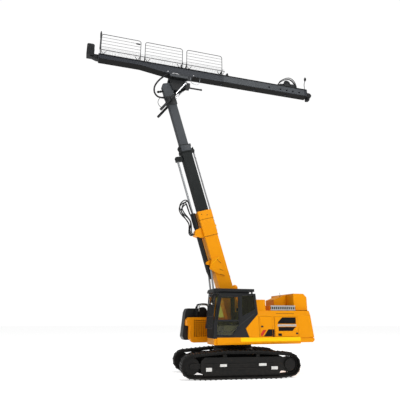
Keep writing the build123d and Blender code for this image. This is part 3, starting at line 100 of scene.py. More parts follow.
# %% [markdown]
# ## Studio
# The machine stands free on white. The sky could simply be white, but then it would wash
# out the dark paint, so a Light Path node makes it white to look at and well under half as
# bright for what it lights. The pale floor glows a little, so that it meets the sky and
# still takes a soft shadow.

# %% Floor and sky
bpy.context.scene.view_settings.view_transform = "Standard"

floor_mesh = bmesh.new()
bmesh.ops.create_circle(floor_mesh, cap_ends=True, segments=96, radius=160.0)
floor_data = bpy.data.meshes.new("floor")
floor_mesh.to_mesh(floor_data)
floor_mesh.free()
floor = bpy.data.objects.new("floor", floor_data)
bpy.context.scene.collection.objects.link(floor)

floor_finish = bpy.data.materials.new("studio_floor")
floor_finish.use_nodes = True
floor_shader = floor_finish.node_tree.nodes["Principled BSDF"]
floor_shader.inputs["Base Color"].default_value = (0.93, 0.93, 0.93, 1.0)
floor_shader.inputs["Roughness"].default_value = 0.9
floor_shader.inputs["Emission Color"].default_value = (1.0, 1.0, 1.0, 1.0)
floor_shader.inputs["Emission Strength"].default_value = 0.66
floor_data.materials.append(floor_finish)

sky = bpy.data.worlds.new("sky")
sky.use_nodes = True
sky_tree = sky.node_tree
sky_tree.nodes["Background"].inputs["Color"].default_value = (1.0, 1.0, 1.0, 1.0)
seen = sky_tree.nodes.new("ShaderNodeLightPath")
strength = sky_tree.nodes.new("ShaderNodeMapRange")
strength.inputs["To Min"].default_value = 0.33
strength.inputs["To Max"].default_value = 1.02
sky_tree.links.new(seen.outputs["Is Camera Ray"], strength.inputs["Value"])
sky_tree.links.new(strength.outputs["Result"], sky_tree.nodes["Background"].inputs["Strength"])
bpy.context.scene.world = sky
print("floor and sky ready")

# %% [markdown]
# ## Lamps
# One large key light from behind the camera's right shoulder brightens the left side, a lamp
# overhead brings up the roofs and shoulders, and a weak fill comes from the other side. Area
# lamps were chosen over a sun, because their size softens the shadows as a studio does.

# %% Key, top and fill


def soft_lamp(name, place, target, size, power):
    """Square area lamp that looks at a target."""
    data = bpy.data.lights.new(name, "AREA")
    data.size = size
    data.energy = power
    lamp = bpy.data.objects.new(name, data)
    lamp.location = place
    lamp.rotation_euler = (Vector(target) - Vector(place)).to_track_quat("-Z", "Y").to_euler()
    bpy.context.scene.collection.objects.link(lamp)


# name, place, the point that it looks at, side length and power
studio_lamps = [
    ("key", (-9.0, 22.0, 21.0), (-1.0, 0.0, 5.0), 9.0, 2600.0),
    ("top", (-2.0, 6.0, 32.0), (-1.0, 0.0, 3.0), 16.0, 4200.0),
    ("fill", (20.0, 9.0, 9.0), (0.0, 0.0, 6.0), 12.0, 300.0),
]
for name, place, target, size, power in studio_lamps:
    soft_lamp(name, place, target, size, power)
print(len(studio_lamps), "lamps")

# %% [markdown]
# ## Shared effects
# Four effects come back on nearly every surface: worn edges, dust that lies low down,
# slow drifts of tone, and a fine grain in the gloss. Each could be copied into every
# material, but as one node group with named sockets it is built once, and a finish only
# says how strong it is. A few short helpers make and link the nodes.

# %% Node helpers
FLOAT, COLOR, VECTOR = "NodeSocketFloat", "NodeSocketColor", "NodeSocketVector"


def new_group(name, inputs, outputs):
    """Empty shader group with its sockets, its input node and its output node."""
    group = bpy.data.node_groups.new(name, "ShaderNodeTree")
    for label, kind, value in inputs:
        socket = group.interface.new_socket(name=label, in_out="INPUT", socket_type=kind)
        if value is not None:
            socket.default_value = value
    for label, kind in outputs:
        group.interface.new_socket(name=label, in_out="OUTPUT", socket_type=kind)
    return group, group.nodes.new("NodeGroupInput"), group.nodes.new("NodeGroupOutput")


def node(tree, kind, settings=(), **sockets):
    """New node with its settings; sockets are values, or output sockets to link."""
    made = tree.nodes.new(kind)
    for name, value in dict(settings).items():
        setattr(made, name, value)
    for name, value in sockets.items():
        numbered = name[0] == "i" and name[1:].isdigit()
        target = made.inputs[int(name[1:]) if numbered else name.replace("_", " ")]
        if isinstance(value, bpy.types.NodeSocket):
            tree.links.new(value, target)
        else:
            target.default_value = value
    return made


def worked_out(tree, operation, *values, clamp=False):
    """Math node on two or three values; the result's socket."""
    inputs = {f"i{index}": value for index, value in enumerate(values)}
    return node(tree, "ShaderNodeMath", {"operation": operation, "use_clamp": clamp}, **inputs).outputs[0]


def map_range(tree, value, from_low, from_high, to_low=0.0, to_high=1.0):
    """Value moved from one range into another; the result's socket."""
    ranges = {"i1": from_low, "i2": from_high, "i3": to_low, "i4": to_high}
    return node(tree, "ShaderNodeMapRange", i0=value, **ranges).outputs[0]


def noise(tree, scale, detail, roughness=0.5):
    """Noise that stays on the piece, from 0 to 1; the result's socket."""
    place = node(tree, "ShaderNodeTexCoord").outputs["Object"]
    made = node(tree, "ShaderNodeTexNoise", Vector=place, Scale=scale, Detail=detail, Roughness=roughness)
    return made.outputs["Fac"]


def mix_color(tree, share, first, second):
    """Two colours mixed; the result's socket."""
    return node(tree, "ShaderNodeMix", {"data_type": "RGBA"}, i0=share, i6=first, i7=second).outputs[2]


print("group sockets:", FLOAT, COLOR, VECTOR)

# %% [markdown]
# ## Tone drift
# Paint on a machine this size is never one even colour. A broad noise swings round zero
# and scales the colour up and down a little, which keeps its hue.

# %% Tone drift


def make_tone_drift():
    """Slow changes of brightness, as sun and cleaning leave them."""
    group, start, end = new_group(
        "tone_drift",
        [("Color", COLOR, None), ("Scale", FLOAT, 1.2), ("Amount", FLOAT, 0.12)],
        [("Color", COLOR)],
    )
    swing = worked_out(group, "SUBTRACT", noise(group, start.outputs["Scale"], 5.0, 0.6), 0.5)
    strength = worked_out(group, "MULTIPLY_ADD", swing, start.outputs["Amount"], 1.0)
    scaled = node(
        group, "ShaderNodeVectorMath", {"operation": "SCALE"}, i0=start.outputs["Color"], Scale=strength
    )
    group.links.new(scaled.outputs[0], end.inputs["Color"])
    return group


tone_drift = make_tone_drift()
print("made", tone_drift.name)

# %% [markdown]
# ## Edge wear
# Paint goes first where two plates meet. The Bevel node rounds the normal near an edge, so
# where it leaves the true normal there is an edge, with no painting by hand. A noise breaks
# the line into patches.

# %% Edge wear


def make_edge_wear():
    """Where the rounded normal leaves the true one is an edge; noise breaks it up."""
    group, start, end = new_group(
        "edge_wear",
        [("Color", COLOR, None), ("Bare", COLOR, None), ("Rounded", VECTOR, None), ("Amount", FLOAT, 0.5)],
        [("Color", COLOR), ("Mask", FLOAT)],
    )
    true = node(group, "ShaderNodeNewGeometry").outputs["Normal"]
    along = node(
        group, "ShaderNodeVectorMath", {"operation": "DOT_PRODUCT"}, i0=start.outputs["Rounded"], i1=true
    )
    edge = map_range(group, along.outputs["Value"], 0.995, 0.86)
    patch = map_range(group, noise(group, 26.0, 6.0, 0.7), 0.50, 0.62)
    broken = worked_out(group, "MULTIPLY", edge, patch)
    mask = worked_out(group, "MULTIPLY", broken, start.outputs["Amount"], clamp=True)
    color = mix_color(group, mask, start.outputs["Color"], start.outputs["Bare"])
    group.links.new(color, end.inputs["Color"])
    group.links.new(mask, end.inputs["Mask"])
    return group


edge_wear = make_edge_wear()
print("made", edge_wear.name)

# %% [markdown]
# ## Dust
# Soil clings low down and thins out with height. The height is read from the Object
# coordinates, which are the shared frame's own here, and a noise makes the layer patchy.

# %% Dust


def make_dust():
    """Dry soil, thickest near the ground."""
    group, start, end = new_group(
        "dust",
        [
            ("Color", COLOR, None), ("Soil", COLOR, (0.30, 0.25, 0.19, 1.0)), ("Top", FLOAT, 1.2),
            ("Amount", FLOAT, 0.5),
        ],
        [("Color", COLOR), ("Mask", FLOAT)],
    )
    place = node(group, "ShaderNodeTexCoord").outputs["Object"]
    height = node(group, "ShaderNodeSeparateXYZ", i0=place).outputs["Z"]
    low = map_range(group, height, 0.0, start.outputs["Top"], 1.0, 0.0)
    patch = map_range(group, noise(group, 7.0, 8.0, 0.65), 0.40, 0.70, 0.15, 1.0)
    share = worked_out(group, "MULTIPLY", low, patch)
    mask = worked_out(group, "MULTIPLY", share, start.outputs["Amount"], clamp=True)
    color = mix_color(group, mask, start.outputs["Color"], start.outputs["Soil"])
    group.links.new(color, end.inputs["Color"])
    group.links.new(mask, end.inputs["Mask"])
    return group


dust = make_dust()
print("made", dust.name)

# %% [markdown]
# ## Fine grain
# Sprayed paint and cast steel are not mirror smooth. A fine noise drives the bump and a
# broad one swings the roughness, so that highlights break up.

# %% Fine grain


def make_grain():
    """Small unevenness: a height for the bump and a swing for the roughness."""
    group, start, end = new_group(
        "grain",
        [("Scale", FLOAT, 120.0), ("Roughness", FLOAT, 0.4), ("Swing", FLOAT, 0.1)],
        [("Height", FLOAT), ("Roughness", FLOAT)],
    )
    swing = worked_out(group, "SUBTRACT", noise(group, 3.0, 6.0, 0.6), 0.5)
    rough = worked_out(
        group, "MULTIPLY_ADD", swing, start.outputs["Swing"], start.outputs["Roughness"], clamp=True
    )
    group.links.new(noise(group, start.outputs["Scale"], 3.0), end.inputs["Height"])
    group.links.new(rough, end.inputs["Roughness"])
    return group


grain = make_grain()
print("made", grain.name)

# %% [markdown]
# ## Finishes
# A finish is a short chain: tone drift, then edge wear, then dust into the base colour,
# and grain into roughness and bump. The Bevel node rounds the normal a few millimetres
# at every hard edge, so that folded sheet and welded plate catch the light there. Real
# bevels on every plate would cost far more triangles than they show at this distance.

# %% Finish builder


def finish(name, color, roughness, metallic=0.0, bare=(0.35, 0.34, 0.33), wear=0.3, soil=0.3, soil_top=1.4,
           round_edge=0.006, grain_scale=140.0, bump=0.12, drift=0.14, coat=0.0, specular=0.22):
    """Painted or plain metal with drift, worn edges, dust and grain."""
    material = bpy.data.materials.new(name)
    material.use_nodes = True
    tree = material.node_tree
    shader = tree.nodes["Principled BSDF"]
    shader.inputs["Metallic"].default_value = metallic
    shader.inputs["Specular IOR Level"].default_value = specular
    shader.inputs["Coat Weight"].default_value = coat
    shader.inputs["Coat Roughness"].default_value = 0.12
    edges = node(tree, "ShaderNodeBevel", {"samples": 4}, Radius=round_edge).outputs[0]
    drifted = node(tree, "ShaderNodeGroup", {"node_tree": tone_drift}, Color=(*color, 1.0), Amount=drift)
    worn = node(
        tree, "ShaderNodeGroup", {"node_tree": edge_wear}, Color=drifted.outputs["Color"],
        Bare=(*bare, 1.0), Rounded=edges, Amount=wear,
    )
    dusty = node(
        tree, "ShaderNodeGroup", {"node_tree": dust}, Color=worn.outputs["Color"], Top=soil_top, Amount=soil
    )
    surface = node(
        tree, "ShaderNodeGroup", {"node_tree": grain}, Scale=grain_scale, Roughness=roughness, Swing=0.25
    )
    relief = node(
        tree, "ShaderNodeBump", Strength=bump, Distance=0.002, Height=surface.outputs["Height"], Normal=edges
    )
    tree.links.new(dusty.outputs["Color"], shader.inputs["Base Color"])
    tree.links.new(surface.outputs["Roughness"], shader.inputs["Roughness"])
    tree.links.new(relief.outputs[0], shader.inputs["Normal"])
    return material


print("a finish joins", tone_drift.name, edge_wear.name, dust.name, "and", grain.name)

# %% [markdown]
# ## Colours
# The paint is a warm yellow on the body and redder on the front box. The skirt's lighter
# yellow is a painted highlight.
# The boom's stages and the beam are greys of different depth. Values that finishes share,
# such as little wear on house paint, stand in a few short sets.

# %% Colours of paint, metal and plastic
house_paint = {"wear": 0.12, "specular": 0.10}
clean = {"wear": 0.0, "soil": 0.0}
boom_paint = {"wear": 0.30, "soil": 0.0}
thin = {"round_edge": 0.002}
finishes = {
    "yellow": finish("yellow_paint", (0.78, 0.285, 0.001), 0.38, soil=0.06, drift=0.10, **house_paint),
    # lighter yellow; on the skirt's sloped band it is a painted highlight
    "bright": finish("lighter_yellow_and_highlight", (0.97, 0.57, 0.006), 0.38, soil=0.05, drift=0.08, **house_paint),
    "orange": finish("orange_paint", (0.92, 0.31, 0.002), 0.42, soil=0.06, drift=0.12, **house_paint),
    # dark brown; in the cooler core it is partly painted shade behind the grille
    "deep": finish("cooler_inside", (0.03, 0.009, 0.001), 0.70, **clean),
    "lens": finish("lamp_lens", (0.80, 0.80, 0.77), 0.12, bump=0.02, specular=0.5, **clean, **thin),
    "cloth": finish("seat_cloth", (0.030, 0.031, 0.036), 0.85, grain_scale=900.0, bump=0.5, **clean),
    "red": finish("red_paint", (0.55, 0.022, 0.006), 0.40, wear=0.10, soil=0.05, coat=0.2),
    "cab": finish("cab_black", (0.012, 0.013, 0.014), 0.36, wear=0.10, soil=0.05, coat=0.08),
    "black": finish("black_paint", (0.010, 0.011, 0.012), 0.44, wear=0.30, soil=0.08),
    "void": finish("dark_inside", (0.004, 0.004, 0.004), 0.80, bump=0.3, **clean),
    "blank": finish("blank_plate", (0.74, 0.74, 0.72), 0.45, wear=0.20, soil=0.35, drift=0.2, **thin),
    "tread": finish(
        "tread_plate", (0.42, 0.42, 0.40), 0.50, metallic=0.3, wear=0.3, soil=0.1, round_edge=0.003
    ),
    "pale": finish("pale_pipe", (0.52, 0.52, 0.53), 0.45, wear=0.1, soil=0.0, **thin),
    "pipe": finish("grey_pipe", (0.30, 0.31, 0.32), 0.40, metallic=0.5, wear=0.2, soil=0.0, **thin),
    # grey of the upper stages; on the rear of the beam's sides it is a painted highlight
    "boom": finish("boom_grey", (0.045, 0.050, 0.056), 0.48, drift=0.25, **boom_paint),
    "stage": finish("stage_grey", (0.006, 0.008, 0.008), 0.50, drift=0.3, specular=0.16, **boom_paint),
    "beam": finish("beam_grey", (0.019, 0.022, 0.028), 0.46, drift=0.3, **boom_paint),
    "track": finish(
        "track_steel", (0.007, 0.007, 0.007), 0.55, bare=(0.20, 0.19, 0.18), wear=0.7,
        soil=0.06, bump=0.35, grain_scale=60.0, specular=0.15,
    ),
    "undercarriage": finish(
        "undercarriage", (0.008, 0.008, 0.008), 0.50, wear=0.25, soil=0.05, specular=0.15
    ),
    "rail": finish("rail_grey", (0.045, 0.047, 0.05), 0.50, wear=0.25, soil=0.0, **thin),
    "chrome": finish("chrome_rod", (0.82, 0.83, 0.85), 0.12, metallic=1.0, bump=0.02, drift=0.04, **clean),
    "engine": finish("engine_grey", (0.16, 0.165, 0.17), 0.55, wear=0.2, soil=0.1),
    "plastic": finish("cab_plastic", (0.035, 0.035, 0.038), 0.55, grain_scale=700.0, bump=0.3, **clean),
    "rubber": finish("rubber", (0.012, 0.012, 0.013), 0.60, wear=0.0, soil=0.10, grain_scale=400.0, bump=0.2),
}
print(len(finishes), "painted and plain finishes")

# %% [markdown]
# ## Glass
# The cab's safety glass lets the seat show and gives it a green cast. Full transmission with
# a tinted base colour does that in the Principled shader itself, with nothing mixed in.

# %% Glass


def make_glass():
    """Tinted safety glass: clear enough to see the seat, with a green cast."""
    material = bpy.data.materials.new("tinted_glass")
    material.use_nodes = True
    shader = material.node_tree.nodes["Principled BSDF"]
    shader.inputs["Base Color"].default_value = (0.82, 0.82, 0.33, 1.0)
    shader.inputs["Roughness"].default_value = 0.03
    shader.inputs["IOR"].default_value = 1.45
    shader.inputs["Transmission Weight"].default_value = 1.0
    return material


finishes["glass"] = make_glass()
print("made", finishes["glass"].name)

# %% [markdown]
# ## Dressing the frame
# Each part of the frame keeps its shape and takes a finish by its name. A table from finish
# to parts is shorter to read than forty-five lines that each dress one part.

# %% Finishes of the frame's parts
frame_finishes = {
    "yellow": [
        "deck", "counterweight", "tail_cover", "hood", "hood_lid", "left_cabinet", "right_tanks",
        "air_intake", "door_left_front", "door_left_rear", "door_right", "boom_base", "lift_barrels",
    ],
    "orange": ["front_box"],
    "cab": ["cab_frame", "cab_door", "visor", "front_cover"],
    "black": ["telescope_barrel", "tilt_barrel", "beam_heads", "mast_bracket"],
    "boom": ["boom_third", "boom_head"],
    "stage": ["boom_second"],
    "beam": ["mast_beam", "walkway"],
    "track": ["track_left", "track_right"],
    "undercarriage": [
        "track_frame_left", "track_frame_right", "rollers", "idlers", "sprockets", "centre_frame",
        "slew_ring",
    ],
    "rail": ["railings"],
    "chrome": ["tilt_rod"],
    "pipe": ["telescope_rod", "lift_rods"],
    "engine": ["engine"],
    "plastic": ["consoles", "seat"],
    "glass": ["cab_glass", "cab_door_glass"],
}
for finish_name, node_names in frame_finishes.items():
    for node_name in node_names:
        part = frame["nodes"][node_name]
        part.data.materials.clear()
        part.data.materials.append(finishes[finish_name])
print(sum(len(names) for names in frame_finishes.values()), "parts dressed")

# %% [markdown]
# ## Mesh helpers
# Each added piece is one joined mesh, drawn in the measuring frame that suits it and then
# moved into the shared frame, so its object stays at the origin. Most pieces are boxes, bars
# and flat outlines, and each of those is one bmesh operator or two.

# %% Boxes, rods, prisms and tubes


def add_box(mesh, low, high, edge=0.0):
    """Box between two corners, with rounded edges where an edge size is given."""
    low, high = Vector(low), Vector(high)
    shape = Matrix.Translation((low + high) / 2) @ Matrix.Diagonal((*(high - low), 1.0))
    corners = bmesh.ops.create_cube(mesh, size=1.0, matrix=shape)["verts"]
    if edge:
        lines = list({line for corner in corners for line in corner.link_edges})
        bmesh.ops.bevel(mesh, geom=lines, offset=edge, segments=2, profile=0.6, affect="EDGES")


def add_block(mesh, x_span, z_span, half_width, middle=0.0, edge=0.0):
    """Box over a span of x and a span of z, even about a middle y."""
    low = (x_span[0], middle - half_width, z_span[0])
    add_box(mesh, low, (x_span[1], middle + half_width, z_span[1]), edge=edge)


def add_rod(mesh, low, high, radius, top_radius=None, sides=16):
    """Round bar or cone between two points."""
    low, high = Vector(low), Vector(high)
    run = high - low
    turn = run.to_track_quat("Z", "Y").to_matrix().to_4x4()
    bmesh.ops.create_cone(
        mesh, cap_ends=True, segments=sides, radius1=radius,
        radius2=radius if top_radius is None else top_radius, depth=run.length,
        matrix=Matrix.Translation((low + high) / 2) @ turn,
    )


def extrude_face(mesh, corners, reach):
    """Face through some corners, drawn out along a vector."""
    face = mesh.faces.new([mesh.verts.new(corner) for corner in corners])
    made = bmesh.ops.extrude_face_region(mesh, geom=[face])["geom"]
    moved = [item for item in made if isinstance(item, bmesh.types.BMVert)]
    bmesh.ops.translate(mesh, verts=moved, vec=reach)


def add_prism(mesh, outline, low, high):
    """Side-view outline of x and z, given a width from one y to another."""
    extrude_face(mesh, [(x, low, z) for x, z in outline], (0.0, high - low, 0.0))


def add_bar(mesh, outline, low, high):
    """End-view outline of y and z, drawn along x from low to high."""
    extrude_face(mesh, [(low, y, z) for y, z in outline], (high - low, 0.0, 0.0))


def rounded(points, bend, steps=6):
    """Corner points with each inner corner turned into a small parabola."""
    points = [Vector(point) for point in points]
    path = [points[0]]
    for before, corner, after in zip(points, points[1:], points[2:]):
        first = corner + (before - corner).normalized() * bend
        last = corner + (after - corner).normalized() * bend
        for step in range(steps + 1):
            share = step / steps
            path.append(first.lerp(corner, share).lerp(corner.lerp(last, share), share))
    return path + [points[-1]]


def add_tube(mesh, points, radius, bend=0.05):
    """Bent metal tube along corner points."""
    curve = bpy.data.curves.new("tube", "CURVE")
    curve.dimensions = "3D"
    curve.bevel_depth = radius
    curve.bevel_resolution = 3
    curve.use_fill_caps = True
    path = rounded(points, bend) if bend and len(points) > 2 else [Vector(point) for point in points]
    line = curve.splines.new("POLY")
    line.points.add(len(path) - 1)
    for target, point in zip(line.points, path):
        target.co = (*point, 1.0)
    holder = bpy.data.objects.new("tube", curve)
    tube = bpy.data.meshes.new_from_object(holder)
    mesh.from_mesh(tube)
    bpy.data.objects.remove(holder)
    bpy.data.curves.remove(curve)
    bpy.data.meshes.remove(tube)


def add_bolts(mesh, places, axis, radius=0.014, height=0.012):
    """Hexagon heads at some places, standing out along an axis."""
    for place in places:
        place = Vector(place)
        add_rod(mesh, place, place + Vector(axis) * height, radius, sides=6)


def side_span(side, inner, outer):
    """Low and high y of a layer on the left, side 1, or the right, side -1."""
    return sorted((side * inner, side * outer))


print("mesh helpers ready")

# %% [markdown]
# ## Keeping a piece
# A finished piece gets its material and rides on the body that carries it.

# %% Keeping a piece
piece_count = 0


def keep(name, mesh, place, finish_name, body):
    """Finish a piece's mesh, move it into the shared frame and let it ride on a body."""
    global piece_count
    bmesh.ops.recalc_face_normals(mesh, faces=mesh.faces[:])
    mesh.transform(place)
    data = bpy.data.meshes.new(name)
    mesh.to_mesh(data)
    mesh.free()
    data.shade_smooth()
    data.set_sharp_from_angle(angle=math.radians(32.0))
    data.materials.append(finishes[finish_name])
    made = bpy.data.objects.new(name, data)
    bpy.context.scene.collection.objects.link(made)
    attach(made, body)
    piece_count += 1
    return made


# %% [markdown]
# ## Plates of the undercarriage
# Four pale plates sit on each side frame. A thin box with softened edges makes each of them,
# and a table holds their places. A dark plate closes the inside of the track between the
# wheels, where the real frame's webs would block the view.

# %% Plates of the undercarriage
side_plate_y = 1.52  # outer face of the side frame's guard
plate_gap, plate_reach = 0.001, 0.026
# x low, x high, z low, z high of a blank plate, from the slewing axis
blank_plates = [
    (1.30, 1.54, 0.33, 0.47),
    (0.66, 0.95, 0.50, 0.60),
    (-1.06, -0.73, 0.51, 0.61),
    (-1.55, -1.27, 0.36, 0.48),
]
mesh = bmesh.new()
for x_low, x_high, z_low, z_high in blank_plates:
    for side in (1, -1):
        y = side_span(side, side_plate_y + plate_gap, side_plate_y + plate_reach)
        add_box(mesh, (x_low, y[0], z_low), (x_high, y[1], z_high), edge=0.0015)
keep("blank_plates", mesh, carrier, "blank", "carrier")

mesh = bmesh.new()
inner_y, inner_depth = 1.187, 0.004
inner_end, inner_tip = 1.60, 2.30  # where the full height ends and where the taper does
inner_low, inner_high = 0.18, 0.94
tip_low, tip_high = 0.42, 0.70
for side in (1, -1):
    y = side_span(side, inner_y, inner_y + inner_depth)
    for reach in (-1, 1):
        end, tip = reach * inner_end, reach * inner_tip
        add_prism(mesh, [(end, inner_low), (tip, tip_low), (tip, tip_high), (end, inner_high)], y[0], y[1])
    add_box(mesh, (-inner_end, y[0], inner_low), (inner_end, y[1], inner_high))
keep("inner_plates", mesh, carrier, "void", "carrier")
print(piece_count, "pieces so far")

# %% [markdown]
# ## Bolts of the undercarriage
# Bolts ring the final drive, and two rows of them hold the guard of the side frame. A
# hexagon head is a six-sided cone with equal ends, and a loop places each row and ring.

# %% Bolts of the undercarriage
drive_x, drive_z, drive_face_y = -2.08, 0.55, 1.614
bolt_rings = [(0.19, 16), (0.10, 8)]  # radius and number of bolts
guard_bolt_columns, guard_bolt_pitch, guard_bolt_front = 11, 0.28, -1.40
mesh = bmesh.new()
for radius, count in bolt_rings:
    for side in (1, -1):
        for turn in range(count):
            angle = 2 * math.pi * turn / count
            x, z = drive_x + radius * math.cos(angle), drive_z + radius * math.sin(angle)
            add_bolts(mesh, [(x, side * drive_face_y, z)], (0, side, 0), radius=0.013)
for side in (1, -1):
    for column in range(guard_bolt_columns):
        x = guard_bolt_front + column * guard_bolt_pitch
        add_bolts(mesh, [(x, side * side_plate_y, z) for z in (0.80, 0.22)], (0, side, 0))
keep("frame_bolts", mesh, carrier, "undercarriage", "carrier")
print(piece_count, "pieces so far")

# %% [markdown]
# ## Vents of the house
# The rear doors have two black vents of slanted outline. A dark prism sunk into the door
# fills each one, and thin upright ribs in front of it give the mesh its grain. Their ends
# follow the slanted corners.

# %% Vents
left = 1.5  # outer face of the house
layer = 0.003  # how far a mark or a strip stands out from it
vent_depth, vent_proud = 0.019, 0.002
rib_count, rib_half, rib_inset, rib_margin = 26, 0.004, 0.05, 0.02
upper_vent = [(-1.604, 2.196), (-1.615, 2.262), (-1.833, 2.462), (-2.484, 2.462), (-2.484, 2.192)]
lower_vent = [(-1.620, 2.056), (-2.462, 2.056), (-2.287, 1.890), (-1.631, 1.890)]


def rib_ends(vent, x):
    """Low and high z of a rib at x, kept inside the vent's slanted corners."""
    xs, zs = [x for x, z in vent], [z for x, z in vent]
    low, high = min(zs) + rib_margin, max(zs) - rib_margin
    if vent is lower_vent:
        return low + max(0.0, min(xs) + 0.18 - x) * 0.95, high
    return low + max(0.0, x - max(xs) + 0.05) * 0.4, high - max(0.0, x - max(xs) + 0.23) * 0.9


for name, side, body in (("left", 1, "door_left_rear"), ("right", -1, "door_right")):
    mesh = bmesh.new()
    for vent in (upper_vent, lower_vent):
        y = side_span(side, left - vent_depth, left + vent_proud)
        add_prism(mesh, vent, y[0], y[1])
        y = side_span(side, left + 0.001, left + 0.006)
        rear, front = min(x for x, z in vent), max(x for x, z in vent)
        for rib in range(rib_count):
            x = rear + rib_inset + rib * (front - rear - 2 * rib_inset) / (rib_count - 1)
            z_low, z_high = rib_ends(vent, x)
            if z_high - z_low > rib_margin:
                add_box(mesh, (x - rib_half, y[0], z_low), (x + rib_half, y[1], z_high))
    keep("vent_mesh_" + name, mesh, slew, "void", body)
print(piece_count, "pieces so far")

# %% [markdown]
# ## Seams and air slots
# The panels of the side wall meet in thin dark lines, and nine short slots run along the
# sloped shoulder over the doors. Cutting them would change the frame's parts, so each is a
# dark strip a millimetre or two proud. A slot is made flat and turned onto the slope.

# %% Seams and air slots
seam_half, seam_low, seam_high, seam_layer = 0.005, 1.66, 2.53, 0.0015
slot_count, slot_pitch, slot_front = 9, 0.0995, -1.632
slot_y, slot_z = 1.412, 2.628  # middle of the sloped shoulder
mesh = bmesh.new()
for x in (-1.43, -0.69):
    x_low, x_high = x - seam_half, x + seam_half
    outline = [(x_low, seam_low), (x_high, seam_low), (x_high, seam_high), (x_low, seam_high)]
    for side in (1, -1):
        y = side_span(side, left, left + seam_layer)
        add_prism(mesh, outline, y[0], y[1])
for slot in range(slot_count):
    for side in (1, -1):
        middle = Vector((slot_front - slot * slot_pitch, side * slot_y, slot_z))
        piece = bmesh.new()
        add_box(piece, (-0.036, -0.012, -0.002), (0.036, 0.012, 0.003), edge=0.001)
        piece.transform(Matrix.Translation(middle) @ Matrix.Rotation(side * math.radians(-45.0), 4, "X"))
        spare = bpy.data.meshes.new("slot")
        piece.to_mesh(spare)
        piece.free()
        mesh.from_mesh(spare)
        bpy.data.meshes.remove(spare)
keep("panel_seams", mesh, slew, "void", "house")
print(piece_count, "pieces so far")

# %% [markdown]
# ## Marks at the cabinet
# Low on the left side are a dark and a red mark, a small square one, and a pale strip between
# the vents. They are paint or film on the real machine. Each could be a patch of colour in the
# door's material, but as a thin prism it has a crisp outline and can ride on its own door.

# %% Marks at the cabinet
# x and z of the dark mark on the front door and beside it, and of the red one ahead of it
door_mark = [(-0.90, 1.675), (-1.125, 1.965), (-1.318, 1.965), (-1.318, 1.675)]
frame_mark = [(-1.334, 1.645), (-1.334, 1.965), (-1.413, 1.965), (-1.413, 1.645)]
red_mark = [(-0.760, 1.690), (-0.760, 1.785), (-0.881, 1.936), (-1.033, 1.936), (-0.838, 1.690)]
square_mark = [(-1.595, 1.680), (-1.595, 1.786), (-1.765, 1.786), (-1.765, 1.680)]
trim_strip = [(-1.585, 2.078), (-1.585, 2.168), (-2.500, 2.168), (-2.500, 2.078)]
# name, outline, finish, body
marks = [
    ("dark_mark", door_mark, "void", "door_left_front"),
    ("dark_mark_end", frame_mark, "void", "house"),
    ("red_mark", red_mark, "red", "door_left_front"),
    ("square_mark", square_mark, "void", "door_left_rear"),
    ("vent_trim", trim_strip, "tread", "door_left_rear"),
]
for name, outline, finish_name, body in marks:
    mesh = bmesh.new()
    add_prism(mesh, outline, left, left + layer)
    keep(name, mesh, slew, finish_name, body)
print("house marks and vents:", piece_count, "pieces so far")

# %% [markdown]
# ## Painted highlight on the skirt, and ring sleeve
# The skirt under the doors leans outwards. A thin band of lighter yellow on that sloped face is a
# painted highlight. An open dark cylinder hides the gap round the slewing ring.

# %% Painted highlight on the skirt, and ring sleeve
# painted highlight on the skirt: a lighter yellow band on the sloped face
skirt_highlight_band = [(1.521, 1.632), (1.5255, 1.632), (1.5545, 1.470), (1.550, 1.470)]  # y and z
mesh = bmesh.new()
for side in (1, -1):
    add_bar(mesh, [(side * y, z) for y, z in skirt_highlight_band], -2.655, 0.190)
keep("skirt_highlight_band", mesh, slew, "bright", "house")

mesh = bmesh.new()
sleeve_radius, sleeve_height, sleeve_z = 0.852, 0.176, 1.260
bmesh.ops.create_cone(
    mesh, cap_ends=False, segments=72, radius1=sleeve_radius, radius2=sleeve_radius, depth=sleeve_height,
    matrix=Matrix.Translation((0.0, 0.0, sleeve_z)),
)
keep("ring_sleeve", mesh, slew, "void", "house")
print(piece_count, "pieces so far")

# %% [markdown]
# ## Handles and bolts of the doors
# Each door has a flush handle: a flat pan with a small grip across it, made as two rounded
# boxes. It has to ride on its own door. Rows of bolts hold the wall panels and the skirt.

# %% Handles and bolts of the doors
pan_half_x, pan_half_z, pan_depth = 0.055, 0.035, 0.006
grip_half_x, grip_half_z, grip_depth = 0.040, 0.012, 0.022
# x and z of a handle, its side of the house, the body that it rides on
handles = [
    (-0.84, 2.08, 1, "door_left_front"),
    (-2.52, 1.78, 1, "door_left_rear"),
    (-2.52, 1.78, -1, "door_right"),
]
for x, z, side, body in handles:
    mesh = bmesh.new()
    y = side_span(side, left, left + pan_depth)
    add_box(mesh, (x - pan_half_x, y[0], z - pan_half_z), (x + pan_half_x, y[1], z + pan_half_z), edge=0.002)
    y = side_span(side, left + pan_depth, left + grip_depth)
    low = (x - grip_half_x, y[0], z - grip_half_z)
    add_box(mesh, low, (x + grip_half_x, y[1], z + grip_half_z), edge=0.004)
    keep("handle_" + body, mesh, slew, "black", body)

wall_bolt_xs, wall_bolt_zs, wall_bolt_radius = (-2.62, -1.39, -0.70), (1.72, 2.08, 2.44), 0.011
skirt_bolt_count, skirt_bolt_pitch, skirt_bolt_radius = 7, 0.55, 0.012
skirt_bolt_rear, skirt_bolt_y, skirt_bolt_z = -2.5, 1.552, 1.40
mesh = bmesh.new()
for side in (1, -1):
    for x in wall_bolt_xs:
        wall_bolts = [(x, side * left, z) for z in wall_bolt_zs]
        add_bolts(mesh, wall_bolts, (0, side, 0), radius=wall_bolt_radius)
    skirt_bolts = [
        (skirt_bolt_rear + bolt * skirt_bolt_pitch, side * skirt_bolt_y, skirt_bolt_z)
        for bolt in range(skirt_bolt_count)
    ]
    add_bolts(mesh, skirt_bolts, (0, side, -0.5), radius=skirt_bolt_radius)
keep("panel_bolts", mesh, slew, "yellow", "house")
print(piece_count, "pieces so far")
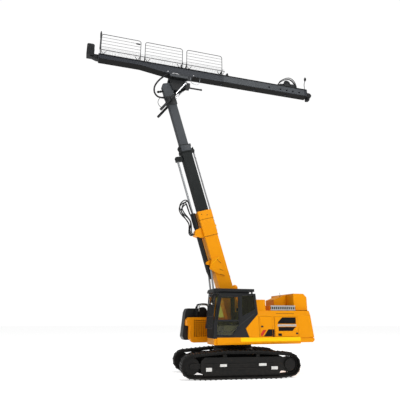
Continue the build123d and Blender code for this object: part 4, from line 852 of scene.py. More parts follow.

# %% [markdown]
# ## Step over the doors
# Over the left doors lies a bare grey step: a tread plate with raised round studs, and below
# it an upright edge with square holes, which is drawn as two rails joined by short posts in
# front of a dark strip of painted shade. Painted shadow lines also run under the step and
# under the rear of the lid.

# %% Step and painted shadow lines
step_rear, step_front = -2.633, -1.392
step_inner, step_face = 0.652, 1.280
step_top, tread_sheet, tread_lap = 2.986, 0.006, 0.003
upper_rail_height, upper_rail_sheet = 0.061, 0.006
lower_rail_low, lower_rail_high, lower_rail_sheet = 2.762, 2.815, 0.004
short_post_count, short_post_inset, short_post_half = 13, 0.048, 0.018
short_post_low, short_post_high, short_post_ends = 2.812, 2.928, 0.10
stud_rows, stud_row_pitch, stud_first_y = 6, 0.1, 0.72
stud_columns, stud_column_pitch, stud_inset = 13, 0.09, 0.08
stud_sunk, stud_height, stud_radius, stud_top_radius = 0.002, 0.005, 0.022, 0.016
mesh = bmesh.new()
tread_low = (step_rear, step_inner, step_top - tread_sheet)
add_box(mesh, tread_low, (step_front, step_face + tread_lap, step_top), edge=0.002)
rail_low = (step_rear, step_face, step_top - upper_rail_height)
add_box(mesh, rail_low, (step_front, step_face + upper_rail_sheet, step_top), edge=0.002)
rail_low = (step_rear, step_face, lower_rail_low)
add_box(mesh, rail_low, (step_front, step_face + lower_rail_sheet, lower_rail_high), edge=0.001)
for post in range(short_post_count):
    run = step_front - step_rear - short_post_ends
    x = step_rear + short_post_inset + post * run / (short_post_count - 1)
    low = (x - short_post_half, step_face, short_post_low)
    high = (x + short_post_half, step_face + lower_rail_sheet, short_post_high)
    add_box(mesh, low, high, edge=0.001)
for row in range(stud_rows):
    for column in range(stud_columns):
        x = step_rear + stud_inset + column * stud_column_pitch
        y = stud_first_y + row * stud_row_pitch
        foot, top = (x, y, step_top - stud_sunk), (x, y, step_top + stud_height)
        add_rod(mesh, foot, top, stud_radius, stud_top_radius, sides=10)
keep("step_plate", mesh, slew, "tread", "house")

# painted shade behind the step's holes, and painted shadow lines under the step and the lid
mesh = bmesh.new()
add_box(mesh, (step_rear, 1.2795, lower_rail_high), (step_front, 1.2815, 2.925))
add_box(mesh, (-3.336, -1.151, 2.762), (-2.644, 1.151, 2.785))
add_box(mesh, (-2.660, 1.2785, 2.7605), (step_front, 1.285, 2.772))
keep("painted_shadow_lines", mesh, slew, "void", "house")
print(piece_count, "pieces so far")

# %% [markdown]
# ## Aerial and lifting eyes
# A short aerial stands on the lid and has to open with it. The counterweight and the tank
# carry plain plates for the crane's hooks.

# %% Aerial and lifting eyes
aerial_x, aerial_y, aerial_foot = -2.395, 0.30, 3.40
mesh = bmesh.new()
for height, radius, sides in ((0.22, 0.008, 8), (0.05, 0.022, 10)):
    top = (aerial_x, aerial_y, aerial_foot + height)
    add_rod(mesh, (aerial_x, aerial_y, aerial_foot), top, radius, sides=sides)
keep("aerial", mesh, slew, "void", "hood_lid")

eye_half_foot, eye_half_top, eye_sunk, eye_height, eye_half_width = 0.07, 0.04, 0.01, 0.10, 0.02
roof_z = 2.76
mesh = bmesh.new()
for x, y in [(-3.45, 0.62), (-3.45, -0.62), (-1.20, -1.0)]:
    foot_z, top_z = roof_z - eye_sunk, roof_z + eye_height
    foot = [(x - eye_half_foot, foot_z), (x + eye_half_foot, foot_z)]
    top = [(x + eye_half_top, top_z), (x - eye_half_top, top_z)]
    add_prism(mesh, foot + top, y - eye_half_width, y + eye_half_width)
keep("lifting_eyes", mesh, slew, "black", "house")
print(piece_count, "pieces so far")

# %% [markdown]
# ## Front of the house
# Behind the grille is a dark cooler with upright ribs; its dark brown is partly painted shade
# behind the grille. A black handrail of two bent tubes arches over a round filter on the front
# box, with a grey pipe under it. Tubes come from a bevelled curve that is made a mesh, because
# that keeps their section round in the bends.

# %% Cooler
core_rear, core_front, core_low, core_high = 0.66, 1.80, 1.42, 2.40
core_back_y, core_face_y = -0.90, -0.600
core_rib_count, core_rib_pitch, core_rib_half, core_rib_depth = 30, 0.036, 0.003, 0.008
core_margin = 0.03
# the core's dark brown is partly painted shade behind the grille
mesh = bmesh.new()
add_box(mesh, (core_rear, core_back_y, core_low), (core_front, core_face_y, core_high))
for rib in range(core_rib_count):
    x = core_rear + 0.04 + rib * core_rib_pitch
    low = (x - core_rib_half, core_face_y, core_low + core_margin)
    add_box(mesh, low, (x + core_rib_half, core_face_y + core_rib_depth, core_high - core_margin))
keep("cooler_core", mesh, slew, "deep", "house")
print(piece_count, "pieces so far")

# %% Handrail, filter and pipe at the front
near_y, far_y = -0.70, -0.92  # the two tubes of the handrail
arch = [(1.51, 2.46), (1.51, 2.93), (1.44, 3.07), (1.20, 3.10), (0.96, 3.08), (0.88, 2.95), (0.88, 2.46)]
mesh = bmesh.new()
for y in (near_y, far_y):
    add_tube(mesh, [(x, y, z) for x, z in arch], 0.030, bend=0.08)
for x, z in ((1.54, 2.80), (1.34, 3.07), (0.88, 2.80)):
    add_rod(mesh, (x, near_y, z), (x, far_y, z), 0.016, sides=10)
keep("front_handrail", mesh, slew, "black", "house")

filter_x, filter_z, filter_radius = 1.22, 2.75, 0.20
filter_back_y, filter_face_y, cap_face_y = -0.93, -0.66, -0.645
foot_low, foot_high, foot_half = 2.465, 2.76, 0.22
mesh = bmesh.new()
face = (filter_x, filter_face_y, filter_z)
add_rod(mesh, (filter_x, filter_back_y, filter_z), face, filter_radius, sides=40)
cap_back = (filter_x, filter_face_y - 0.01, filter_z)
add_rod(mesh, cap_back, (filter_x, cap_face_y, filter_z), 0.165, 0.14, sides=40)
low = (filter_x - foot_half, filter_back_y, foot_low)
add_box(mesh, low, (filter_x + foot_half, -0.68, foot_high), edge=0.02)
keep("filter_housing", mesh, slew, "void", "house")

pipe_y = -0.64
pipe = [(1.42, 2.78), (1.43, 2.98), (1.36, 3.04), (1.06, 3.04), (0.96, 2.96), (0.98, 2.78)]
mesh = bmesh.new()
add_tube(mesh, [(x, pipe_y, z) for x, z in pipe], 0.022, bend=0.06)
for x, z in (pipe[0], pipe[-1]):
    add_rod(mesh, (x, pipe_y, z), (x, near_y, z), 0.034, sides=14)
keep("front_pipe", mesh, slew, "pipe", "house")

front_edge_z = 2.472
mesh = bmesh.new()
add_box(mesh, (0.66, -0.556, front_edge_z - 0.035), (1.86, -0.536, front_edge_z + 0.004), edge=0.003)
keep("front_box_edge", mesh, slew, "yellow", "house")
print("front done:", piece_count, "pieces so far")

# %% [markdown]
# ## Seat
# The seat of the frame is a plain block, so cushions in cloth stand for it. A cushion is a
# rounded box whose faces are subdivided and puffed out in the middle. That gives the crown of
# a stuffed seat in a few lines, where a cloth simulation would take far longer for a piece
# that is seen through tinted glass.

# %% Cushions
seat_middle_y = 1.02


def add_cushion(name, low, high, turn_x, lean, edge, *replaced):
    """Rounded cushion in cloth, leaned back about a line across the seat."""
    mesh = bmesh.new()
    add_box(mesh, low, high, edge=edge)
    bmesh.ops.subdivide_edges(mesh, edges=mesh.edges[:], cuts=2, use_grid_fill=True)
    middle = (Vector(low) + Vector(high)) / 2
    half = (Vector(high) - Vector(low)) / 2
    upright = half.z > half.x
    outwards = Vector((1, 0, 0)) if upright else Vector((0, 0, 1))
    for corner in mesh.verts:
        away = Vector((a / b for a, b in zip(corner.co - middle, half)))
        along = away.z if upright else away.x
        puff = 0.016 * (1 - min(1.0, away.y ** 2)) * (1 - min(1.0, along ** 2))
        corner.co += outwards * puff * (1 if away.dot(outwards) > 0 else -1)
    turn_place = Matrix.Translation((turn_x, 0, low[2]))
    mesh.transform(turn_place @ Matrix.Rotation(lean, 4, "Y") @ turn_place.inverted())
    made = keep(name, mesh, slew, "cloth", "house")
    if replaced:
        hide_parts(*replaced)


back_lean, seat_lean = math.radians(-10.0), math.radians(-3.0)
add_cushion("seat_cushion", (0.27, 0.77, 1.95), (0.80, 1.27, 2.08), 0.5, seat_lean, 0.045, "seat")
add_cushion("seat_back", (0.16, 0.79, 2.07), (0.28, 1.25, 2.70), 0.22, back_lean, 0.045)
add_cushion("headrest", (0.05, 0.90, 2.715), (0.145, 1.14, 2.87), 0.10, back_lean, 0.035)
print(piece_count, "pieces so far")

# %% [markdown]
# ## Seat base, levers and pedals
# The cushions rest on a sprung column with folded bellows, here five stacked rounded boxes of
# slightly different width. Beside the seat stand a lever and an armrest on each side, and in
# front of it a display on a stalk and two pedals with their rods.

# %% Seat base
bellows_count, bellows_foot, bellows_pitch, bellows_height = 5, 1.70, 0.04, 0.036
bellows_rear, bellows_front, bellows_half, bellows_fold = 0.38, 0.68, 0.14, 0.004
# span of x, span of z and half width of the foot plate, the seat pan and the hinge of the back
foot_plate = ((0.34, 0.72), (1.662, bellows_foot), 0.17)
seat_pan = ((0.30, 0.76), (1.898, 1.955), 0.20)
back_hinge = ((0.17, 0.20), (2.02, 2.14), 0.22)
headrest_rod_spacing, headrest_rod_radius = 0.05, 0.007
headrest_rod = [(0.115, 2.66), (0.10, 2.75)]  # x and z of its ends
mesh = bmesh.new()
add_block(mesh, *foot_plate, middle=seat_middle_y, edge=0.006)
for step in range(bellows_count):
    z = bellows_foot + step * bellows_pitch
    rear = bellows_rear + bellows_fold * (step % 2)
    add_block(mesh, (rear, bellows_front), (z, z + bellows_height), bellows_half, seat_middle_y, edge=0.012)
add_block(mesh, *seat_pan, middle=seat_middle_y, edge=0.01)
for y in (seat_middle_y - headrest_rod_spacing, seat_middle_y + headrest_rod_spacing):
    rod_low, rod_high = [(x, y, z) for x, z in headrest_rod]
    add_rod(mesh, rod_low, rod_high, headrest_rod_radius, sides=8)
add_block(mesh, *back_hinge, middle=seat_middle_y, edge=0.006)
keep("seat_base", mesh, slew, "plastic", "house")
print(piece_count, "pieces so far")

# %% Levers, display and pedals
console_ys, console_top = (0.69, 1.35), 2.115
armrest_x, armrest_z, armrest_half = (0.30, 0.60), (2.20, 2.245), 0.05
support_foot_x, support_top_x, support_top_z, support_radius = 0.34, 0.36, 2.21, 0.016
lever_x, boot_top, boot_radius, neck_radius = 0.80, 2.20, 0.035, 0.014
grip_x, grip_low, grip_high, grip_radius = 0.815, 2.19, 2.33, 0.021
knob_x, knob_high, knob_radius = 0.812, 2.35, 0.012
mesh = bmesh.new()
for y in console_ys:
    add_rod(mesh, (lever_x, y, console_top), (lever_x, y, boot_top), boot_radius, neck_radius, sides=14)
    add_rod(mesh, (lever_x, y, grip_low), (grip_x, y, grip_high), neck_radius, grip_radius, sides=12)
    add_rod(mesh, (grip_x, y, grip_high), (knob_x, y, knob_high), grip_radius, knob_radius, sides=12)
    add_block(mesh, armrest_x, armrest_z, armrest_half, y, edge=0.014)
    support_top = (support_top_x, y, support_top_z)
    add_rod(mesh, (support_foot_x, y, console_top), support_top, support_radius, sides=8)

display_low, display_high = (1.12, 0.66, 2.20), (1.155, 0.90, 2.38)
display_stalk = [(1.14, 0.78, 2.22), (1.20, 0.72, 1.95)]
add_box(mesh, display_low, display_high, edge=0.008)
add_rod(mesh, *display_stalk, 0.014, sides=8)

pedal_ys, pedal_half, pedal_rod_radius = (0.93, 1.07), 0.045, 0.011
pedal = [(1.10, 1.665), (1.22, 1.72), (1.22, 1.735), (1.09, 1.68)]
rod_foot_x, rod_foot_z = 1.13, 1.69
handle_x, handle_z, handle_half, handle_radius = 1.02, 2.02, 0.02, 0.022
for y in pedal_ys:
    add_prism(mesh, pedal, y - pedal_half, y + pedal_half)
    add_rod(mesh, (rod_foot_x, y, rod_foot_z), (handle_x, y, handle_z), pedal_rod_radius, sides=8)
    handle_end = (handle_x, y - handle_half, handle_z)
    add_rod(mesh, handle_end, (handle_x, y + handle_half, handle_z), handle_radius, sides=10)
keep("levers", mesh, slew, "plastic", "house")
print(piece_count, "pieces so far")

# %% [markdown]
# ## Trim inside the cab
# Dark trim lines the wall beside the boom, the roof and the frames of the front and rear
# windows. Without it the yellow boom would show through both panes of glass much more than
# it does in the photo.

# %% Trim inside the cab
wall_inner, wall_outer = 0.603, 0.612
# x and z of each panel on the wall beside the boom
wall_trims = [
    [(-0.60, 2.60), (-0.56, 3.40), (-0.08, 3.40), (-0.08, 2.30), (-0.20, 2.26)],
    [(0.16, 1.70), (1.28, 1.70), (1.32, 2.14), (0.16, 2.14)],
]
# x and z of a panel across the cab, and the y that it reaches from and to
cross_trims = [
    ([(1.285, 1.67), (1.325, 1.67), (1.325, 2.16), (1.285, 2.16)], 0.62, 1.42),
    ([(-0.560, 2.66), (-0.550, 2.66), (-0.495, 3.40), (-0.505, 3.40)], 0.63, 1.41),
    ([(1.383, 1.61), (1.392, 2.13), (1.397, 2.13), (1.388, 1.61)], 0.545, 1.480),
]
mesh = bmesh.new()
for outline in wall_trims:
    add_prism(mesh, outline, wall_inner, wall_outer)
for outline, low, high in cross_trims:
    add_prism(mesh, outline, low, high)
add_box(mesh, (-0.50, 0.61, 3.395), (1.10, 1.43, 3.405))
keep("cab_trim", mesh, slew, "void", "house")
print(piece_count, "pieces so far")

# %% [markdown]
# ## Seams and handles of the cab
# A pale seam follows the slanted lower edge of the shell. It runs over the fixed frame and
# over the door, so it is split there into two pieces, and each half stays on its own body
# when the door opens. The door has a latch and a bent grab bar.

# %% Seams and handles of the cab
seam_y, seam_radius = 1.501, 0.007
frame_seam = [(-0.477, 2.608), (0.183, 2.157)]
door_seam = [(0.207, 2.140), (0.504, 1.937), (0.573, 1.885), (1.210, 1.878)]
for name, seam, body in (("cab_frame_seam", frame_seam, "house"), ("cab_door_seam", door_seam, "cab_door")):
    mesh = bmesh.new()
    places = [(x, seam_y, z) for x, z in seam]
    for first, last in zip(places, places[1:]):
        add_rod(mesh, first, last, seam_radius, sides=8)
    keep(name, mesh, slew, "rail", body)

grab_y, grab_out = 1.50, 1.545
grab_bar = [(1.24, grab_y, 2.38), (1.24, grab_out, 2.38), (1.16, grab_out, 2.95), (1.16, grab_y, 2.95)]
mesh = bmesh.new()
add_box(mesh, (0.225, 1.500, 1.99), (0.345, 1.507, 2.09), edge=0.003)
add_box(mesh, (0.240, 1.507, 2.03), (0.330, 1.528, 2.052), edge=0.006)
add_tube(mesh, grab_bar, 0.011, bend=0.02)
keep("cab_door_handle", mesh, slew, "black", "cab_door")
print(piece_count, "pieces so far")

# %% [markdown]
# ## Roof of the cab
# A flat box stands on the roof under the visor, and the visor's front edge turns down in a
# wedge. Thin strips stiffen its two long edges.

# %% Roof
wing = [
    (1.26, 3.662), (1.335, 3.662), (1.385, 3.560), (1.385, 3.500), (1.16, 3.485), (1.06, 3.548),
    (1.26, 3.548),
]
mesh = bmesh.new()
add_box(mesh, (-0.33, 0.66, 3.468), (1.02, 1.38, 3.553), edge=0.012)
add_prism(mesh, wing, 0.56, 1.48)
for y in (0.545, 1.465):
    add_box(mesh, (-0.53, y, 3.660), (1.30, y + 0.030, 3.672), edge=0.004)
keep("roof_box", mesh, slew, "cab", "house")
print(piece_count, "pieces so far")

# %% [markdown]
# ## Windscreen guard
# A frame of tubes stands off the windscreen on short arms and carries a wire mesh. Wires of
# real thickness are drawn, and not a see-through texture, so the guard also holds up close.
# Each wire has only four sides, because there are over a hundred of them.

# %% Frame of the guard
guard_top, guard_low = Vector((1.290, 0.0, 3.500)), Vector((1.445, 0.0, 2.000))
guard_right, guard_left = 0.555, 1.485
mesh = bmesh.new()
for y in (guard_right, guard_left):
    across = Vector((0, y, 0))
    add_tube(mesh, [guard_top + across, guard_low + across], 0.020)
    for share in (0.04, 0.96):
        place = guard_top.lerp(guard_low, share) + across
        shell_x = 1.39 - max(0.0, place.z - 2.15) * 0.189  # the windscreen leans back above z 2.15
        add_rod(mesh, place, (shell_x - 0.01, y, place.z), 0.016, sides=8)
for share in (0.0, 0.34, 0.67, 1.0):
    place = guard_top.lerp(guard_low, share)
    add_rod(mesh, place + Vector((0, guard_right, 0)), place + Vector((0, guard_left, 0)), 0.016, sides=10)
keep("guard_frame", mesh, slew, "black", "house")
print(piece_count, "pieces so far")

# %% Wires of the guard
wire_radius, wire_right, wire_span = 0.0055, 0.575, 0.890
# share of the guard's height where a panel starts and ends, its columns and its rows
guard_panels = [(0.0, 0.34, 20, 8), (0.34, 1.0, 40, 34)]
mesh = bmesh.new()
for start, end, columns, rows in guard_panels:
    panel_top, panel_low = guard_top.lerp(guard_low, start), guard_top.lerp(guard_low, end)
    for column in range(columns):
        across = Vector((0, wire_right + column * wire_span / (columns - 1), 0))
        add_rod(mesh, panel_top + across, panel_low + across, wire_radius, sides=4)
    for row in range(rows):
        place = panel_top.lerp(panel_low, (row + 0.5) / rows)
        add_rod(mesh, place + Vector((0, 0.56, 0)), place + Vector((0, 1.48, 0)), wire_radius, sides=4)
keep("guard_mesh", mesh, slew, "black", "house")
print(piece_count, "pieces so far")

# %% [markdown]
# ## Lamps of the cab
# Two work lamps look forward beside the windscreen. A housing is a cone that widens towards
# the front, and a flat pale cone in its mouth is the lens.

# %% Lamps of the cab
# middle of a lamp and the way that it looks, from the slewing axis
cab_lamps = [
    (Vector((1.40, 1.38, 3.03)), Vector((1.0, 0.25, -0.2))),
    (Vector((1.36, 0.72, 3.03)), Vector((1.0, 0.0, -0.2))),
]
mesh = bmesh.new()
glass_mesh = bmesh.new()
for place, look in cab_lamps:
    look.normalize()
    add_rod(mesh, place - look * 0.03, place + look * 0.035, 0.030, 0.052, sides=20)
    add_rod(glass_mesh, place + look * 0.030, place + look * 0.040, 0.046, 0.040, sides=20)
keep("cab_lamps", mesh, slew, "black", "house")
keep("cab_lamp_glass", glass_mesh, slew, "lens", "house")
print("cab done:", piece_count, "pieces so far")

# %% [markdown]
# ## Hoses
# A hose is a smooth curve through a few given points. Where it stays on one body it is a
# curve with a round section. Where it crosses a joint it is a plain mesh tube on no body.
# The real lengths are measured on the curve itself.

# %% Hose helpers


def smooth_curve(name, points, place):
    """Smooth curve in the shared frame near points of a measuring frame."""
    curve = bpy.data.curves.new(name, "CURVE")
    curve.dimensions = "3D"
    line = curve.splines.new("NURBS")
    line.points.add(len(points) - 1)
    for target, point in zip(line.points, points):
        target.co = (*(place @ Vector(point)), 1.0)
    line.order_u = 3
    line.use_endpoint_u = True
    line.resolution_u = 8
    return curve


def smooth_path(points, place):
    """Points along the smooth curve, and the curve's length."""
    curve = smooth_curve("route", points, place)
    holder = bpy.data.objects.new("route", curve)
    route = bpy.data.meshes.new_from_object(holder)
    path = [corner.co.copy() for corner in route.vertices]
    bpy.data.objects.remove(holder)
    bpy.data.curves.remove(curve)
    bpy.data.meshes.remove(route)
    return path, sum((second - first).length for first, second in zip(path, path[1:]))


def lay_hose(name, points, place, radius, finish_name, body):
    """Hose that stays on one body, from where it leaves the machine to where it goes back in."""
    curve = smooth_curve(name, points, place)
    curve.bevel_depth = radius
    curve.bevel_resolution = 4
    curve.use_fill_caps = True
    curve.materials.append(finishes[finish_name])
    hose = bpy.data.objects.new(name, curve)
    bpy.context.scene.collection.objects.link(hose)
    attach(hose, body)
    length = smooth_path(points, place)[1]
    print(name, "is", round(length, 3), "m long")


def lay_bending_hose(name, points, place, radius, finish_name):
    """Hose as a plain mesh tube in the shared frame, on no body."""
    path, length = smooth_path(points, place)
    mesh = bmesh.new()
    add_tube(mesh, path, radius, bend=0.0)
    data = bpy.data.meshes.new(name)
    mesh.to_mesh(data)
    mesh.free()
    data.shade_smooth()
    data.materials.append(finishes[finish_name])
    hose = bpy.data.objects.new(name, data)
    bpy.context.scene.collection.objects.link(hose)
    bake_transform(hose)
    print(name, "is", round(length, 3), "m long")


print("hose helpers ready")

# %% [markdown]
# ## Boom
# The yellow base gets its dark joint lines and a row of small dark marks on its back edge.
# The lines could be cut as grooves, but a groove this narrow fills with light, and a dark
# strip a few millimetres proud reads better. Weld marks at the gusset are short cones,
# because a weld seen from far is no more than a thin line that tapers out.

# %% Joint lines and weld marks of the base
line_half_depth, line_half_width, line_half_height = 0.347, 0.297, 0.009
line_sunk, line_proud = 0.004, 0.003
line_places = (5.148, 4.300)
end_marks = [(0.195, 5.405), (-0.074, 5.322)]  # u and w
end_mark_inner, end_mark_outer, end_mark_radius = 0.305, 0.313, 0.026
back_mark_count, back_mark_first, back_mark_pitch, back_mark_half = 6, 4.96, 0.083, 0.022
mesh = bmesh.new()
for w in line_places:
    w_low, w_high = w - line_half_height, w + line_half_height
    for side in (1, -1):
        y = side_span(side, line_half_width - line_sunk, line_half_width + line_proud)
        add_box(mesh, (-line_half_depth, y[0], w_low), (line_half_depth, y[1], w_high))
    low = (line_half_depth - line_sunk, -line_half_width, w_low)
    add_box(mesh, low, (line_half_depth + line_proud, line_half_width, w_high))
for u, w in end_marks:
    add_rod(mesh, (u, end_mark_inner, w), (u, end_mark_outer, w), end_mark_radius, sides=18)
for mark in range(back_mark_count):
    w = back_mark_first + mark * back_mark_pitch
    add_box(mesh, (-0.352, 0.270, w - back_mark_half), (-0.340, 0.300, w + back_mark_half), edge=0.003)
add_box(mesh, (-0.336, 0.262, 2.130), (-0.326, 0.284, 2.245), edge=0.003)
keep("boom_lines", mesh, boom, "void", "boom_base")

gusset_face = 0.3255
# ends of a short weld mark at the gusset: u and w of each
weld_marks = [
    ((0.076, 3.125), (0.021, 2.998)),
    ((0.023, 3.024), (-0.075, 2.880)),
    ((0.088, 2.644), (-0.070, 2.530)),
    ((0.126, 2.402), (-0.070, 2.290)),
]
mesh = bmesh.new()
for (u_first, w_first), (u_last, w_last) in weld_marks:
    add_rod(mesh, (u_first, gusset_face, w_first), (u_last, gusset_face, w_last), 0.012, 0.007, sides=8)
keep("gusset_marks", mesh, boom, "deep", "boom_base")

mesh = bmesh.new()
add_box(mesh, (-0.425, -0.16, 4.680), (-0.340, 0.16, 4.780), edge=0.01)
for side in (1, -1):
    y = side * gusset_face
    add_rod(mesh, (0.350, y, 2.976), (-0.060, y, 3.205), 0.009, sides=8)
keep("boom_lug", mesh, boom, "bright", "boom_base")
print(piece_count, "pieces so far")

# %% [markdown]
# ## Sleeves and collars of the stages
# Pale sleeves cover the hose pipes behind the second stage, plates brighten its collar, and a
# dark collar with a clamped pin closes the third stage below the head. Each rides on its own
# stage, so the telescope can run in and out without leaving one behind.

# %% Sleeves and collars
sleeve_u, sleeve_foot, sleeve_end, pipe_sleeve_radius = -0.430, 4.500, 8.700, 0.0187
pipe_ys = (-0.07, 0.0, 0.07)
mesh = bmesh.new()
for y in pipe_ys:
    add_rod(mesh, (sleeve_u, y, sleeve_foot), (sleeve_u, y, sleeve_end), pipe_sleeve_radius, sides=14)
keep("pipe_sleeves", mesh, boom, "pale", "boom_second")

collar_half_depth, collar_side, collar_sheet = 0.270, 0.2555, 0.003
collar_low, collar_high = 8.820, 9.125
mesh = bmesh.new()
for side in (1, -1):
    y = side_span(side, collar_side, collar_side + collar_sheet)
    add_box(mesh, (-collar_half_depth, y[0], collar_low), (collar_half_depth, y[1], collar_high), edge=0.002)
keep("second_collar_plates", mesh, boom, "boom", "boom_second")

head_half_depth, head_half_width, head_low, head_high = 0.2465, 0.2065, 11.505, 11.995
pin_w, pin_start, pin_end, pin_radius = 12.420, 0.280, 0.604, 0.050
clamp_us, clamp_length, clamp_radius = (0.40, 0.52), 0.03, 0.066
mesh = bmesh.new()
add_block(mesh, (-head_half_depth, head_half_depth), (head_low, head_high), head_half_width, edge=0.012)
add_rod(mesh, (pin_start, 0.0, pin_w), (pin_end, 0.0, pin_w), pin_radius, sides=18)
for u in clamp_us:
    add_rod(mesh, (u, 0.0, pin_w), (u + clamp_length, 0.0, pin_w), clamp_radius, sides=18)
keep("head_collar", mesh, boom, "black", "boom_third")
print(piece_count, "pieces so far")

# %% [markdown]
# ## Hoses of the boom
# Two hoses loop out beside the telescope cylinder on each side. Each leaves the cylinder's
# clamp upwards, swings out and comes back to the barrel lower down. One route serves all
# four: the inner loops are the same points drawn in by an inset.

# %% Hoses of the boom
# how far a hose lies off the boom's middle, and how much its loop is drawn in
boom_hoses = [(0.165, 0.0), (0.205, 0.09), (-0.165, 0.04), (-0.205, 0.14)]
for number, (y, inset) in enumerate(boom_hoses, 1):
    side = 1 if y > 0 else -1
    route = [
        (0.595, side * 0.127, 5.480), (0.620, y, 5.600), (0.640, y, 5.950), (0.650, y, 6.300 - inset),
        (0.900 - inset, y, 6.300 - inset), (1.150 - inset, y, 6.080 - inset), (1.120 - inset, y, 5.720),
        (0.880, y, 5.420), (0.790, y, 5.180), (0.880 - inset / 2, y, 4.940), (0.990 - inset, y * 0.9, 4.700),
        (0.920 - inset / 2, y * 0.8, 4.560), (0.792, side * 0.12 - inset / 4, 4.560),
    ]
    lay_hose(f"boom_hose_{number}", route, boom, 0.028, "rubber", "boom_base")

# %% [markdown]
# ## Mast beam
# Along the beam run a dark top edge and a dark line under it. Paler strips on the rear part of
# the sides are a painted highlight; they stand behind the walkway and leave the web holes open,
# which is why they are drawn as strips between the holes and not as one sheet with cuts.

# %% Edges and painted highlight strips of the beam
beam_side = 0.2305


def add_side_strips(mesh, x_rear, x_front, z_low, z_high, y_in, depth=0.003):
    """Thin strip on the left side of the mast and its mirror on the right."""
    for side in (1, -1):
        y = side_span(side, y_in, y_in + depth)
        add_box(mesh, (x_rear, y[0], z_low), (x_front, y[1], z_high))


mesh = bmesh.new()
add_side_strips(mesh, -8.160, 3.870, 1.055, 1.101, beam_side, 0.020)
underside = [(-8.160, 0.660), (-0.670, 0.660), (0.130, 0.600), (1.730, 0.830), (3.870, 0.830)]
add_prism(mesh, underside + [(x, z - 0.004) for x, z in reversed(underside)], -0.226, 0.226)
keep("beam_edge_strips", mesh, mast, "void", "mast")

# painted highlight: paler grey strips on the rear part of the beam's sides, round the web holes
highlight_rear, highlight_front = -8.000, -2.920
highlight_low, highlight_high = 0.680, 1.053
hole_low, hole_high, hole_half = 0.765, 0.875, 0.055
web_holes = [-7.650, -7.242, -6.834, -6.426, -5.700]
mesh = bmesh.new()
add_side_strips(mesh, highlight_rear, highlight_front, hole_high, highlight_high, beam_side)
add_side_strips(mesh, highlight_rear, highlight_front, highlight_low, hole_low, beam_side)
edges = [highlight_rear] + [x + way * hole_half for x in web_holes for way in (-1, 1)] + [highlight_front]
for x_rear, x_front in zip(edges[::2], edges[1::2]):
    add_side_strips(mesh, x_rear, x_front, hole_low, hole_high, beam_side)
keep("beam_side_highlight", mesh, mast, "boom", "mast")
print(piece_count, "pieces so far")

# %% [markdown]
# ## Bracket and stops of the beam
# The saddle under the beam has pale strips, a bent pipe on each side and pin ends in the
# web. A stub pipe points to the rear, and small dark stops stand on the beam's top.

# %% Bracket and stops
mesh = bmesh.new()
add_side_strips(mesh, -0.815, 0.155, 0.365, 0.475, 0.3905)
keep("saddle_strips", mesh, mast, "boom", "mast")

pipe_arc = [(0.05, 0.50), (0.03, 0.56), (-0.06, 0.60), (-0.24, 0.60), (-0.33, 0.56), (-0.35, 0.50)]
mesh = bmesh.new()
for side in (1, -1):
    add_tube(mesh, [(x, side * 0.33, z) for x, z in pipe_arc], 0.020, bend=0.04)
    for x in (0.244, -1.182):
        add_rod(mesh, (x, side * 0.229, 0.720), (x, side * 0.236, 0.720), 0.030, sides=18)
keep("bracket_pipes", mesh, mast, "pale", "mast")

beam_top = 1.099
stub_z = 0.060
# x where a small stop starts, and its length
small_stops = [(3.60, 0.16), (1.10, 0.10), (-4.95, 0.12), (-7.95, 0.14)]
mesh = bmesh.new()
add_rod(mesh, (-0.990, 0.0, stub_z), (-1.700, 0.0, stub_z), 0.043, sides=18)
add_rod(mesh, (-1.640, 0.0, stub_z), (-1.690, 0.0, stub_z), 0.055, sides=18)
rear_stop = [(-3.24, beam_top), (-3.02, beam_top), (-3.06, 1.18), (-3.14, 1.29), (-3.20, 1.29)]
add_prism(mesh, rear_stop, -0.20, 0.20)
for x, length in small_stops:
    foot = [(x, beam_top), (x + length, beam_top)]
    add_prism(mesh, foot + [(x + length - 0.03, 1.15), (x + 0.03, 1.15)], -0.10, 0.10)
keep("beam_stops", mesh, mast, "black", "mast")
print(piece_count, "pieces so far")

# %% [markdown]
# ## Walkway
# The frame has a plain slab for the floor of the walkway. A grating on posts and struts
# stands for it here, so that white shows between the floor and the beam as it does in the
# photo. Posts, struts and crossbars come at both ends of each railing panel.

# %% Floor frame of the walkway
floor_z, rim_depth = 1.330, 0.034
floor_rear, floor_front, floor_edge = -2.970, 3.880, 0.288
rim_width = 0.006
post_half, post_y, rail_y = 0.022, 0.20, 0.273
panel_rears, panel_length = (1.760, -0.530, -2.820), 2.050
rim_low, rim_high = floor_z - rim_depth, floor_z + 0.006
mesh = bmesh.new()
for side in (1, -1):
    y = side_span(side, floor_edge - rim_width, floor_edge)
    add_box(mesh, (floor_rear, y[0], rim_low), (floor_front, y[1], rim_high))
for x in (floor_rear, floor_front - rim_width):
    add_box(mesh, (x, -floor_edge, rim_low), (x + rim_width, floor_edge, rim_high))
for rear in panel_rears:
    for x, lean_in in ((rear, 0.14), (rear + panel_length, -0.14)):
        for y in (-post_y, post_y):
            post_low = (x - post_half, y - post_half, beam_top)
            add_box(mesh, post_low, (x + post_half, y + post_half, floor_z - 0.004))
            for share in (2, 0.2):
                strut_top = (x + share * lean_in, y, floor_z - 0.02)
                add_rod(mesh, (x + lean_in, y, 1.100), strut_top, 0.016, sides=8)
        add_box(mesh, (x - 0.020, -floor_edge, rim_low), (x + 0.020, floor_edge, floor_z - 0.006))
        for y in (-rail_y, rail_y):
            add_rod(mesh, (x, y, floor_z - 0.004), (x, y, floor_z + 0.130), 0.021, sides=10)
walkway_floor = keep("walkway_floor", mesh, mast, "black", "mast")
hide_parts("walkway")
print(piece_count, "pieces so far")

